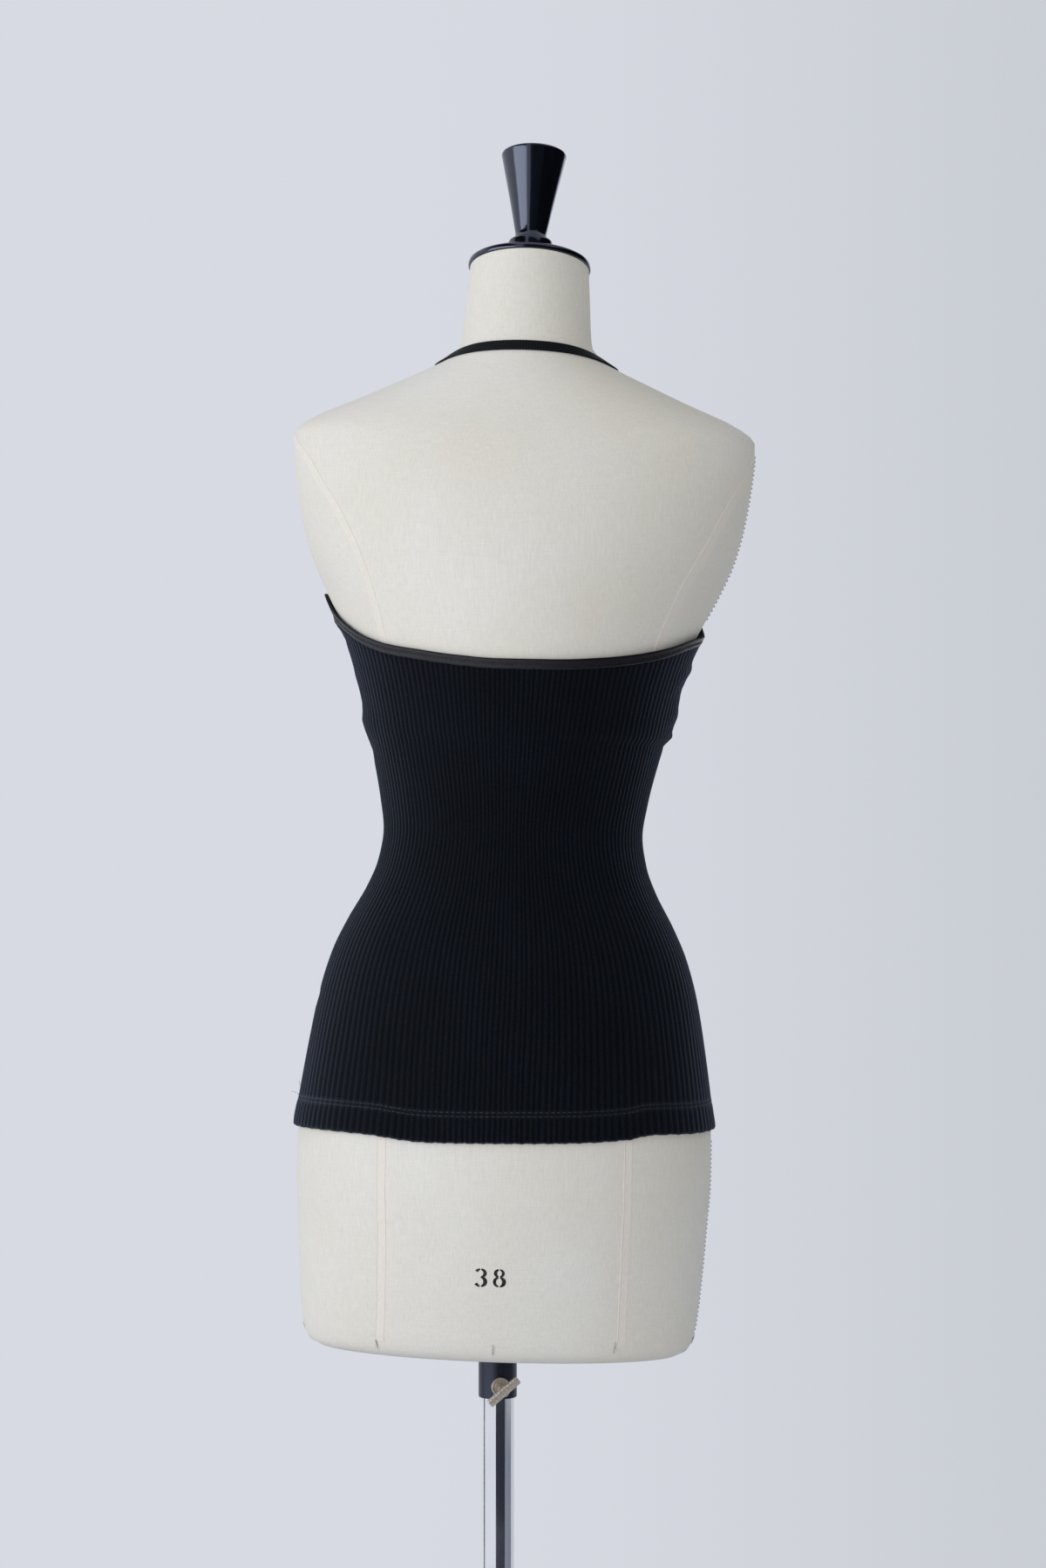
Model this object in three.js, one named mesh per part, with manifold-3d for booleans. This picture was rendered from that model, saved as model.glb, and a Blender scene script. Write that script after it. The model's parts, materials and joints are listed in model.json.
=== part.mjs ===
// Ribbed halter neck top, worn by a limbless dress form on a pole and a round base.
// Millimetres. +Z is up, +Y is the back of the top, and the origin is under the middle of the base.
import * as THREE from "three";
import { mergeVertices } from "three/addons/utils/BufferGeometryUtils.js";
import Module from "manifold-3d";

// The stand
const BASE_RADIUS = 225;
const SOCKET_TOP = 66;
const POLE_RADIUS = 13.5;
const POLE_FOOT = 12;
const POLE_TOP = 940;
const SLEEVE_RADIUS = 15.8;
const SLEEVE_HEIGHT = 40;
const BORE_RADIUS = 13.9;
const SEAM_GAP = 0.3;

// The form: its heights are above the torso's lower edge, and it leans a little to one side.
const TORSO_BOTTOM = 610;
const TORSO_LEAN = THREE.MathUtils.degToRad(1.64);
const TORSO_SIDES = 32;
const BORE_TOP = 545;
const BUST_FULLNESS = 18;
const BUST_SPACING = 86;
const BUST_WIDTH = 54;
const BUST_HEIGHT = 590;
const BUST_RISE = 70;
const NECK_TOP = 892;
const HEAD_PITCH = THREE.MathUtils.degToRad(13);

// The top: its cloth, its ribs and the elastic that binds its edges
const CLOTH_CLEARANCE = 1.6;
const CLOTH_THICKNESS = 1.0;
const RIB_HEIGHT = 0.5;
const RIBS_PER_PANEL = 96;
const LINING_STEPS = 26;
const HEM_HEIGHT = 180.5;
const HEM_THICKNESS = 0.5;
const BAND_STEP = 507;
const ELASTIC_WIDTH = 7;
const ELASTIC_THICKNESS = 2.6;
const ELASTIC_CLEARANCE = 1.1;
const ELASTIC_ROOM = 1.1;
const STRAP_WIDTH = 7.4;
const STRAP_THICKNESS = 1.3;
const STRAP_CLEARANCE = 1.2;

// The clamp screw, seen from its axis
const SCREW_TURN = THREE.MathUtils.degToRad(10);
const SCREW_DROP = 29;
const SCREW_RADIUS = 3.4;
const SCREW_LENGTH = 44;
const HUB_RADIUS = 7.6;
const HUB_START = 17;
const HUB_LENGTH = 6;
const WING_LENGTH = 31;
const WING_SIZE = 6.5;
const WING_ANGLE = THREE.MathUtils.degToRad(40);

const COLOURS = { knit: 0x10131a, elastic: 0x2c2c38, linen: 0xd8d5cc, lacquer: 0x0b0c0f };
const METALS = { chrome: 0xc9ccd1, nickel: 0xb9b2a6 };

// A table is a list of rows, each read by the names of its columns.
function table(columns, rows) {
  return rows.map((row) => Object.fromEntries(columns.map((name, i) => [name, row[i]])));
}

// Level sections of the torso: half width, reach to the back and front, how far forward the widest
// place lies, and how steeply the section climbs towards the back.
const SECTIONS = table(
  ["height", "width", "back", "front", "forward", "rise"],
  [
    [0, 148, 79, 85, 0, 0],
    [4, 156, 87, 93, 0, 0],
    [12, 160, 92, 98, 1, 0],
    [25, 163, 96, 100, 3, 0],
    [69, 167, 106, 103, 6, 0],
    [108, 169.5, 112, 105, 8, 0],
    [141, 171.3, 116, 105, 8, 0],
    [180, 170.8, 118, 104, 8, 0],
    [204, 167.6, 118, 103.5, 8, 0],
    [249, 160.4, 114, 101, 8, 0],
    [293, 152, 106, 99, 8, 0],
    [325, 142.6, 98, 97, 8, 0],
    [350, 131.2, 92, 96, 8, 0],
    [379, 115.4, 86, 95, 8, 0],
    [400, 107.4, 83, 95, 8, 0],
    [425, 103.6, 82, 95.5, 8, 0],
    [451, 107.2, 83, 98, 11.4, 0],
    [489, 115.2, 89, 106, 16.3, 0],
    [523, 123.2, 94.5, 113, 20.7, 0],
    [569, 137, 101, 118, 26.6, 0],
    [595, 149, 104, 119, 30, 0],
    [623, 163.2, 106, 116, 33.6, 0],
    [652, 175.9, 106.5, 108, 28, 0],
    [681, 183.5, 104, 98, 20, 0],
    [710, 188.1, 99, 86, 12, 0],
    [739, 190.8, 90, 74, 6, 0],
    [751, 190.5, 85, 69, 4, 0],
    [761, 180, 80, 64, 4, 0],
    [782, 133.5, 70, 55, 4, 0],
    [800, 94, 60, 50, 4, 0],
    [811, 71, 53, 49, 3, 0],
    [819, 60, 48.5, 49.5, 3, 0.02],
    [826, 54.8, 45.5, 50.5, 3, 0.06],
    [838, 53, 43, 53, 5, 0.1],
    [860, 51.5, 38.5, 58, 10, 0.17],
    [NECK_TOP, 49.3, 33, 65, 16, Math.tan(HEAD_PITCH)],
  ],
);

// Heights at which the torso has a ring of corners, shared with the cloth where the cloth lies on it
const TORSO_RINGS = [
  0, 4, 12, 25, 69, 108, 141, 180, 204, 252, 300, 340, 375, 410, 450, 500, 535, 569, 595, 623, 652, 681,
  710, 739, 751, 761, 782, 800, 811, 819, 826, 838, 860, NECK_TOP,
];
const BODY_RINGS = [204, 252, 300, 340, 375, 410, 450, 500];

// How far the cloth stands off the form at its two sides and at its middle
const SLACK = table(
  ["height", "left", "middle", "right"],
  [
    [160, 1.0, 0.6, 1.6],
    [204, 0.2, 0.2, 0.4],
    [300, 0.6, 0.1, 0.6],
    [450, 0.4, 0.1, 0.5],
    [485, 0.6, 0.1, 1.0],
    [500, 1.6, 0.2, 1.8],
    [507, 2.0, 1.0, 5.4],
    [523, 1.2, 0.8, 4.4],
    [550, 1.0, 0.4, 3.6],
    [585, 0.4, 0.5, 3.0],
    [620, 0.3, 0.8, 1.5],
    [720, 0.3, 0.3, 0.3],
  ],
);

// How the ribs gather towards the middle of a panel, above zero, or spread there, below zero
const GATHER = table(
  ["height", "amount"],
  [
    [180, 0.06],
    [300, 0.05],
    [390, 0.01],
    [430, -0.02],
    [490, -0.06],
    [550, -0.09],
    [720, -0.09],
  ],
);

// Edges of the top. Degrees run round the form from its left side over the back; heights as the torso's.
const HEM_WAVE = table(
  ["degrees", "lift"],
  [
    [0, 3],
    [38, 4.5],
    [51, 4],
    [72, -0.6],
    [90, -0.6],
    [112, -0.8],
    [127, 0.4],
    [135, 3],
    [158, 1.2],
    [180, 1],
    [270, 0],
    [360, 3],
  ],
);
const BACK_EDGE = table(
  ["degrees", "height"],
  [
    [0, 620],
    [12, 602],
    [22, 592],
    [32, 583],
    [44, 576],
    [58, 571.5],
    [70, 568],
    [86, 565.5],
    [105, 566],
    [121, 568.7],
    [135, 573],
    [150, 580],
    [162, 588],
    [172, 595],
    [180, 600],
  ],
);
const FRONT_EDGE = table(
  ["degrees", "height"],
  [
    [180, 600],
    [192, 608],
    [205, 620],
    [216, 633],
    [226, 647],
    [236, 665],
    [243, 684],
    [248, 704],
    [251, 713],
    [255, 706],
    [262, 692],
    [270, 687],
    [278, 692],
    [285, 706],
    [289, 713],
    [292, 704],
    [297, 686],
    [304, 668],
    [314, 650],
    [324, 638],
    [335, 628],
    [348, 621],
    [360, 620],
  ],
);
const ARMHOLE_DEGREES = { right: [180.6, 250.4], left: [289.6, 359.4] };
const NECKLINE_DEGREES = [255.5, 284.5];

// Middle line of the neck strap from the nape over a shoulder to the top of the front
const STRAP_ROUTE = table(
  ["degrees", "height"],
  [
    [90, 822],
    [70, 821.6],
    [53, 820.6],
    [32, 817.5],
    [15, 813.2],
    [0, 809.6],
    [-14, 808.2],
    [-32, 803.5],
    [-46, 794.5],
    [-57.6, 781.5],
    [-66, 761],
    [-69, 739],
    [-69.8, 719],
  ],
);

// The turned knob and the neck cap under it: radius and height
const KNOB_PROFILE = [
  [0, 0], [17.4, 0], [18.1, 1], [18.1, 13.5], [17, 15], [13.6, 16], [12.2, 18], [12.2, 21.5],
  [25.8, 89], [25.9, 90.5], [25, 91.6], [14, 93.6], [0, 94.2],
];
const CAP_TOP = 10;
const CAP_PROFILE = [[0, 0], [49.4, 0], [50.6, 1], [50.6, 4.2], [48.8, 5.8], [35, 8.4], [19, CAP_TOP], [0, CAP_TOP]];

const wasm = await Module();
wasm.setup();

// Value of a column at a height, on a smooth curve through the table's rows
function smooth(rows, key, column, at) {
  const last = rows.length - 1;
  if (at <= rows[0][key]) return rows[0][column];
  if (at >= rows[last][key]) return rows[last][column];
  const i = rows.findIndex((row) => row[key] > at) - 1;
  const span = rows[i + 1][key] - rows[i][key];
  const t = (at - rows[i][key]) / span;
  const step = (j) => (rows[j + 1][column] - rows[j][column]) / (rows[j + 1][key] - rows[j][key]);
  // A slope between two steps of unlike sign is level, so that the curve never overshoots a row.
  const slope = (j) => {
    if (j === 0 || j === last) return step(Math.min(j, last - 1));
    const [a, b] = [step(j - 1), step(j)];
    return a * b <= 0 ? 0 : (2 * a * b) / (a + b);
  };
  const rise = rows[i + 1][column] - rows[i][column];
  const [m0, m1] = [slope(i) * span, slope(i + 1) * span];
  return rows[i][column] + t * m0 + t * t * (3 * rise - 2 * m0 - m1) + t * t * t * (m0 + m1 - 2 * rise);
}

// Point on the torso, or off it by some millimetres, at an angle round it and a height
function torsoPoint(angle, height, off = 0, depthOfBust = bustDepth) {
  const of = (column) => smooth(SECTIONS, "height", column, height);
  const side = Math.sin(angle);
  const x = (of("width") + off) * Math.cos(angle);
  const forward = of("forward");
  const lobe = side < 0 ? depthOfBust(x, height) * Math.min(1, -2 * side) : 0;
  const reach = (side < 0 ? of("front") + lobe - forward : of("back") + forward) + off;
  const across = reach * side;
  return new THREE.Vector3(x, across - forward, height + of("rise") * across);
}

function bustDepth(x, height) {
  const sideways = (Math.abs(x) - BUST_SPACING) / BUST_WIDTH;
  const upwards = (height - BUST_HEIGHT) / BUST_RISE;
  return BUST_FULLNESS * Math.exp(-sideways * sideways - upwards * upwards);
}

// Cloth spans the hollow between the two sides of the bust.
function spannedDepth(x, height) {
  return bustDepth(Math.max(Math.abs(x), BUST_SPACING), height);
}

// Point on the worn cloth, some millimetres off the form beside its slack
function clothPoint(angle, height, off) {
  return torsoPoint(angle, height, off + slack(angle, height), spannedDepth);
}

function torsoNormal(angle, height) {
  const reach = 0.01;
  const round = torsoPoint(angle + reach, height).sub(torsoPoint(angle - reach, height));
  const up = torsoPoint(angle, height + 1).sub(torsoPoint(angle, height - 1));
  return round.cross(up).normalize();
}

// Solids as lists of corners and triangles
class Solid {
  constructor() {
    this.corners = [];
    this.faces = [];
  }
  row(points) {
    return points.map((point) => this.corners.push(point) - 1);
  }
  // Skin between two rows of as many corners, seen from outside with the first row below
  skin(lower, upper) {
    for (let i = 0; i + 1 < lower.length; i++) {
      this.faces.push([lower[i], lower[i + 1], upper[i + 1]], [lower[i], upper[i + 1], upper[i]]);
    }
  }
  // Skin between two rows of unlike numbers of corners
  zip(lower, upper) {
    let [i, j] = [0, 0];
    while (i + 1 < lower.length || j + 1 < upper.length) {
      const nextLower = (i + 1) / (lower.length - 1);
      const nextUpper = (j + 1) / (upper.length - 1);
      if (nextLower <= nextUpper) this.faces.push([lower[i], lower[++i], upper[j]]);
      else this.faces.push([lower[i], upper[j + 1], upper[j++]]);
    }
  }
  fan(ring, tip) {
    ring.forEach((corner, i) => this.faces.push([corner, ring[(i + 1) % ring.length], tip]));
  }
  geometry() {
    const geometry = new THREE.BufferGeometry().setFromPoints(this.corners);
    geometry.setIndex(this.faces.flat());
    return geometry;
  }
}

function solidOf(geometry) {
  const bare = geometry.clone();
  bare.deleteAttribute("normal");
  bare.deleteAttribute("uv");
  const merged = mergeVertices(bare, 1e-3);
  const vertProperties = merged.getAttribute("position").array;
  const triVerts = new Uint32Array(merged.index.array);
  return new wasm.Manifold(new wasm.Mesh({ numProp: 3, vertProperties, triVerts }));
}

function geometryOf(solid) {
  const mesh = solid.getMesh();
  const geometry = new THREE.BufferGeometry();
  geometry.setAttribute("position", new THREE.BufferAttribute(mesh.vertProperties, 3));
  geometry.setIndex(new THREE.BufferAttribute(mesh.triVerts, 1));
  return geometry;
}

function named(name, geometry, color, roughness, metalness = 0) {
  const flat = geometry.index ? geometry.toNonIndexed() : geometry;
  flat.computeVertexNormals();
  const mesh = new THREE.Mesh(flat, new THREE.MeshStandardMaterial({ color, roughness, metalness }));
  mesh.name = name;
  return mesh;
}

function lathe(profile, sides) {
  const points = profile.map(([radius, height]) => new THREE.Vector2(radius, height));
  return new THREE.LatheGeometry(points, sides).rotateX(Math.PI / 2);
}

// The torso: rings of corners, closed below and on the neck, with a plumb bore for the pole
function makeTorso() {
  const solid = new Solid();
  const rings = TORSO_RINGS.map((height) => {
    const at = (i) => torsoPoint((2 * Math.PI * i) / TORSO_SIDES, height);
    return solid.row(Array.from({ length: TORSO_SIDES }, (_, i) => at(i)));
  });
  rings.slice(1).forEach((upper, i) => {
    const lower = rings[i];
    solid.skin([...lower, lower[0]], [...upper, upper[0]]);
  });
  const forwardOf = (height) => smooth(SECTIONS, "height", "forward", height);
  const [under, over] = solid.row([
    new THREE.Vector3(0, -forwardOf(0), 0),
    new THREE.Vector3(0, -forwardOf(NECK_TOP), NECK_TOP),
  ]);
  solid.fan(rings.at(-1), over);
  solid.fan([...rings[0]].reverse(), under);
  const reach = BORE_TOP + 20;
  const bore = new THREE.CylinderGeometry(BORE_RADIUS, BORE_RADIUS, reach, 24).rotateX(Math.PI / 2);
  bore.translate(0, 0, BORE_TOP - reach / 2);
  bore.rotateY(TORSO_LEAN);
  return geometryOf(solidOf(solid.geometry()).subtract(solidOf(bore)));
}

const radians = THREE.MathUtils.degToRad;
const backEdge = (degrees) => smooth(BACK_EDGE, "degrees", "height", degrees);
const frontEdge = (degrees) => smooth(FRONT_EDGE, "degrees", "height", degrees);

// Height of the hem, level in the room, so it slants on the leaning form
function hemHeight(degrees) {
  const x = torsoPoint(radians(degrees), HEM_HEIGHT).x;
  return HEM_HEIGHT - x * Math.tan(TORSO_LEAN) + smooth(HEM_WAVE, "degrees", "lift", degrees);
}

// How far the cloth stands off there, with the step of the band that presses through it
function slack(angle, height) {
  const of = (column) => smooth(SLACK, "height", column, height);
  const sideways = Math.cos(angle);
  const share = sideways * sideways;
  return of(sideways > 0 ? "left" : "right") * share + of("middle") * (1 - share);
}

// Lower border of the elastic: its width, measured along the cloth, is taken off the edge.
function panelTop(edge, degrees, from, to) {
  const window = 3;
  const here = edge(degrees);
  const place = (at) => torsoPoint(radians(at), here);
  const steepness = [degrees - window, degrees + window].map((other) => {
    const at = THREE.MathUtils.clamp(other, from, to);
    return at === degrees ? 0 : Math.abs(edge(at) - here) / place(at).distanceTo(place(degrees));
  });
  return here - (ELASTIC_WIDTH + ELASTIC_ROOM) * Math.hypot(1, Math.max(...steepness));
}

// A panel runs between two side seams. Its share counts from 0 at the first seam to 1 at the other.
function panelDegrees(share, from, to, height) {
  const gather = smooth(GATHER, "height", "amount", height);
  const turn = share + (gather / Math.PI) * Math.sin(2 * Math.PI * share);
  const seam = THREE.MathUtils.radToDeg(SEAM_GAP / 2 / 110);
  return from + seam + (to - from - 2 * seam) * turn;
}

function makePanel({ edge, from, to, bodyRings, upperStrips }) {
  const place = (share, level) => {
    if (level === 0) {
      const degrees = panelDegrees(share, from, to, HEM_HEIGHT);
      return [degrees, hemHeight(degrees)];
    }
    const ring = bodyRings[Math.min(level, bodyRings.length) - 1];
    const above = level - bodyRings.length;
    if (above <= 0) return [panelDegrees(share, from, to, ring), ring];
    const upper = panelDegrees(share, from, to, ring + (above / upperStrips) * 60);
    const top = panelTop(edge, upper, from, to);
    return [upper, ring + ((top - ring) * above) / upperStrips];
  };
  const point = (share, level, off) => {
    const [degrees, height] = place(share, level);
    return clothPoint(radians(degrees), height, off);
  };
  const solid = new Solid();
  const levels = bodyRings.length + upperStrips;
  const corners = 2 * RIBS_PER_PANEL;
  const outer = [];
  const inner = [];
  for (let level = 0; level <= levels; level++) {
    const hem = level < 2 ? HEM_THICKNESS : 0;
    const outside = (i) => CLOTH_CLEARANCE + CLOTH_THICKNESS + hem + (i % 2) * RIB_HEIGHT;
    const skinPoint = (i) => point(i / corners, level, outside(i));
    outer.push(solid.row(Array.from({ length: corners + 1 }, (_, i) => skinPoint(i))));
    const liningPoint = (i) => point(i / LINING_STEPS, level, CLOTH_CLEARANCE);
    inner.push(solid.row(Array.from({ length: LINING_STEPS + 1 }, (_, i) => liningPoint(i))));
  }
  for (let level = 0; level < levels; level++) {
    solid.skin(outer[level], outer[level + 1]);
    solid.skin(inner[level + 1], inner[level]);
  }
  solid.zip(inner[0], outer[0]);
  solid.zip(outer[levels], inner[levels]);
  const seam = (rows, end) => rows.map((row) => row.at(end));
  solid.skin(seam(inner, 0).reverse(), seam(outer, 0).reverse());
  solid.skin(seam(inner, -1), seam(outer, -1));
  return solid.geometry();
}

// Elastic folded over an edge: four borders, inner and outer, above and below
function makeElastic(edge, from, to, steps) {
  const border = (depth, off) =>
    Array.from({ length: steps + 1 }, (_, i) => {
      const degrees = from + ((to - from) * i) / steps;
      const [here, ahead] = [degrees, degrees + 0.5].map((at) =>
        torsoPoint(radians(at), edge(degrees)).setZ(edge(at)),
      );
      const run = Math.hypot(ahead.x - here.x, ahead.y - here.y);
      const climb = ahead.z - here.z;
      const length = Math.hypot(run, climb);
      const turn = (0.5 * depth * climb) / length / run;
      const angle = radians(THREE.MathUtils.clamp(degrees + turn, from, to));
      const height = edge(degrees) - (depth * run) / length;
      return clothPoint(angle, height, off);
    });
  const far = ELASTIC_CLEARANCE + ELASTIC_THICKNESS;
  return ribbon([
    border(ELASTIC_WIDTH, ELASTIC_CLEARANCE),
    border(ELASTIC_WIDTH, far),
    border(0, far),
    border(0, ELASTIC_CLEARANCE),
  ]);
}

// Closed ribbon from its four borders, in the order inside below, outside below, outside above, inside
function ribbon(borders) {
  const solid = new Solid();
  const rows = borders.map((points) => solid.row(points));
  rows.forEach((lower, i) => solid.skin(lower, rows[(i + 1) % rows.length]));
  const [a, b, c, d] = rows.map((row) => row[0]);
  const [e, f, g, h] = rows.map((row) => row.at(-1));
  solid.faces.push([a, b, c], [a, c, d], [e, g, f], [e, h, g]);
  return solid.geometry();
}

// The strap lies on the shoulders and round the nape, from one top of the front to the other.
function makeStrap() {
  const mirrored = STRAP_ROUTE.slice(1).map(({ degrees, height }) => ({ degrees: 180 - degrees, height }));
  const route = [...STRAP_ROUTE].reverse().concat(mirrored);
  const line = new THREE.CatmullRomCurve3(route.map(({ degrees, height }) => new THREE.Vector3(degrees, height, 0)));
  const steps = 40;
  const stations = Array.from({ length: steps + 1 }, (_, i) => {
    const at = (t) => {
      const { x, y } = line.getPoint(THREE.MathUtils.clamp(t, 0, 1));
      return { angle: radians(x), height: y };
    };
    const place = (t) => torsoPoint(at(t).angle, at(t).height);
    const t = i / steps;
    const along = place(t + 0.01).sub(place(t - 0.01)).normalize();
    const off = torsoNormal(at(t).angle, at(t).height);
    const across = new THREE.Vector3().crossVectors(off, along).normalize();
    return { middle: place(t), off, across };
  });
  const border = (sideways, away) =>
    stations.map(({ middle, off, across }) =>
      middle.clone().addScaledVector(across, sideways).addScaledVector(off, away),
    );
  const half = STRAP_WIDTH / 2;
  const far = STRAP_CLEARANCE + STRAP_THICKNESS;
  return ribbon([
    border(-half, STRAP_CLEARANCE),
    border(-half, far),
    border(half, far),
    border(half, STRAP_CLEARANCE),
  ]);
}

// The sleeve under the torso, with the threaded hole for the clamp screw
function makeSleeve() {
  const wall = [[BORE_RADIUS, 0], [SLEEVE_RADIUS, 0], [SLEEVE_RADIUS, SLEEVE_HEIGHT], [BORE_RADIUS, SLEEVE_HEIGHT]];
  const tube = lathe([...wall, wall[0]], 28);
  const hole = SCREW_RADIUS + SEAM_GAP;
  const drill = new THREE.CylinderGeometry(hole, hole, SLEEVE_RADIUS * 2, 16);
  drill.translate(0, SLEEVE_RADIUS, 0).rotateZ(SCREW_TURN);
  drill.translate(0, 0, SLEEVE_HEIGHT - SCREW_DROP);
  return geometryOf(solidOf(tube).subtract(solidOf(drill)));
}

// The clamp screw along +Y: its shank, its hub and the ribbed wing that fingers turn
function makeScrew() {
  const tip = POLE_RADIUS + SEAM_GAP;
  const shank = new THREE.CylinderGeometry(SCREW_RADIUS, SCREW_RADIUS, SCREW_LENGTH - tip, 16);
  shank.translate(0, (SCREW_LENGTH + tip) / 2, 0);
  const hub = new THREE.CylinderGeometry(HUB_RADIUS, HUB_RADIUS, HUB_LENGTH, 20);
  hub.translate(0, HUB_START + HUB_LENGTH / 2, 0);
  const wing = new THREE.BoxGeometry(WING_LENGTH, WING_SIZE, WING_SIZE);
  wing.rotateY(WING_ANGLE).translate(0, SCREW_LENGTH, 0);
  return geometryOf(solidOf(shank).add(solidOf(hub)).add(solidOf(wing)));
}

function makeBase() {
  const profile = [
    [0, 0], [BASE_RADIUS, 0], [BASE_RADIUS, 7], [BASE_RADIUS - 4, 11], [150, 17], [70, 22], [34, 28],
    [26, 34], [25, SOCKET_TOP - 2], [23, SOCKET_TOP], [BORE_RADIUS, SOCKET_TOP],
    [BORE_RADIUS, POLE_FOOT], [0, POLE_FOOT],
  ];
  return lathe(profile, 40);
}

function makePole() {
  const foot = POLE_FOOT + SEAM_GAP;
  return lathe([[0, foot], [POLE_RADIUS, foot], [POLE_RADIUS, POLE_TOP], [0, POLE_TOP]], 28);
}

// The halter top and the form, leaning as one
function makeFigure() {
  const figure = new THREE.Group();
  figure.position.z = TORSO_BOTTOM;
  figure.rotation.y = -TORSO_LEAN;
  const cloth = (name, geometry) => figure.add(named(name, geometry, COLOURS.knit, 0.9));
  const elastic = (name, geometry) => figure.add(named(name, geometry, COLOURS.elastic, 0.6));
  cloth(
    "back_panel",
    makePanel({ edge: backEdge, from: 0, to: 180, bodyRings: [...BODY_RINGS, BAND_STEP], upperStrips: 2 }),
  );
  cloth(
    "front_panel",
    makePanel({ edge: frontEdge, from: 180, to: 360, bodyRings: BODY_RINGS, upperStrips: 6 }),
  );
  elastic("back_binding", makeElastic(backEdge, 0.6, 179.4, 44));
  elastic("armhole_binding_right", makeElastic(frontEdge, ...ARMHOLE_DEGREES.right, 24));
  elastic("armhole_binding_left", makeElastic(frontEdge, ...ARMHOLE_DEGREES.left, 24));
  elastic("neckline_binding", makeElastic(frontEdge, ...NECKLINE_DEGREES, 20));
  elastic("neck_strap", makeStrap());
  figure.add(named("torso", makeTorso(), COLOURS.linen, 0.9));

  const head = new THREE.Group();
  head.position.set(0, -smooth(SECTIONS, "height", "forward", NECK_TOP), NECK_TOP);
  head.rotation.x = HEAD_PITCH;
  const cap = named("neck_cap", lathe(CAP_PROFILE, 32), COLOURS.lacquer, 0.25);
  cap.position.z = SEAM_GAP;
  const knob = named("knob", lathe(KNOB_PROFILE, 22), COLOURS.lacquer, 0.2);
  knob.position.z = CAP_TOP + 2 * SEAM_GAP;
  head.add(cap, knob);
  figure.add(head);
  return figure;
}

const sleeve = named("sleeve", makeSleeve(), COLOURS.lacquer, 0.35);
sleeve.position.z = TORSO_BOTTOM - SLEEVE_HEIGHT - 2 * SEAM_GAP;

const screw = named("clamp_screw", makeScrew(), METALS.nickel, 0.35, 1);
screw.position.z = TORSO_BOTTOM - SCREW_DROP - 2 * SEAM_GAP;
screw.rotation.z = SCREW_TURN;

const part = new THREE.Group();
part.add(makeFigure(), sleeve, screw);
part.add(named("pole", makePole(), METALS.chrome, 0.12, 1));
part.add(named("base", makeBase(), COLOURS.lacquer, 0.4));

export default part;
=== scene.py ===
import json
import math

import bmesh
import bpy
import numpy as np
from mathutils import Matrix
from mathutils import Vector

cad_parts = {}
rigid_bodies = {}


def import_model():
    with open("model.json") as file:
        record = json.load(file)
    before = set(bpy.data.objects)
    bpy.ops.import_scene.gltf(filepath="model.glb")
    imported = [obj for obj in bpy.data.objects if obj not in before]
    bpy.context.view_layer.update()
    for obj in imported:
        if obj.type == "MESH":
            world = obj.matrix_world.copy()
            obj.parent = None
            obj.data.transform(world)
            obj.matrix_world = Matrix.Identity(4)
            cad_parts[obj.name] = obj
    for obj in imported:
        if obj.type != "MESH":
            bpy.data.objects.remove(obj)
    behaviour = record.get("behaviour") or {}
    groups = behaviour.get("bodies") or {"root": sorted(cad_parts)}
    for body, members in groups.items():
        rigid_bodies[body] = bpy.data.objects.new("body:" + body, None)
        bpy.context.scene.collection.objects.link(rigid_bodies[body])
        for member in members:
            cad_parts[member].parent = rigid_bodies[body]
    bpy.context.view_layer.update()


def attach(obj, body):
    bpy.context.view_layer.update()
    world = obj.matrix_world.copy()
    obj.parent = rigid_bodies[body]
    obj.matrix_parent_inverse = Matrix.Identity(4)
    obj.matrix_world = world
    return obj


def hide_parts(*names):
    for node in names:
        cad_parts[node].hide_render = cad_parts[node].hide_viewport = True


for leftover in list(bpy.data.objects):
    bpy.data.objects.remove(leftover)

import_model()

MM = 0.001

# The stand
BASE_RADIUS = 225
SOCKET_TOP = 66
POLE_RADIUS = 13.5
POLE_FOOT = 12
POLE_TOP = 940
SLEEVE_RADIUS = 15.8
SLEEVE_HEIGHT = 40
BORE_RADIUS = 13.9
SEAM_GAP = 0.3

# The form: its heights are above the torso's lower edge, and it leans a little to one side.
TORSO_BOTTOM = 610
TORSO_SIDES = 144
TORSO_STEP = 7
TORSO_LEAN = math.radians(1.64)
BORE_TOP = 541
BUST_FULLNESS = 18
BUST_SPACING = 86
BUST_WIDTH = 54
BUST_HEIGHT = 590
BUST_RISE = 70
NECK_TOP = 892
HEAD_PITCH = math.radians(13)

# The top: its cloth, its ribs and the elastic that binds its edges
CLOTH_CLEARANCE = 1.6
CLOTH_THICKNESS = 1.0
RIB_RELIEF = 0.62
RIBS_PER_PANEL = 80
POINTS_PER_RIB = 6
HEM_HEIGHT = 180.5
HEM_STITCHING = 21.5
NEEDLE_SPACING = 3.2
HEM_STITCH = 3.1
HEM_THREAD_THICKNESS = 0.5
SLACK_THREAD_THICKNESS = 0.62
LOOSE_THREAD_THICKNESS = 0.34
# Radius of the hem at the middle of a panel, and how much more it is at the sides
HEM_RADIUS = 112
HEM_WIDENING = 26
# Radius that turns the gap at a side seam into degrees
SEAM_RADIUS = 110
ELASTIC_WIDTH = 7
ELASTIC_ROOM = 1.1
STRAP_WIDTH = 8.8
STRAP_THICKNESS = 1.3
STRAP_CLEARANCE = 0.5

# The clamp screw
SCREW_TURN = math.radians(10)
SCREW_DROP = 29
SCREW_RADIUS = 3.4
SCREW_LENGTH = 44
HUB_RADIUS = 7.6
HUB_START = 17
HUB_LENGTH = 6
WING_LENGTH = 31
WING_SIZE = 6.5
WING_ANGLE = math.radians(40)
WING_SIDES = 32
WING_STEPS = 62

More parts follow.
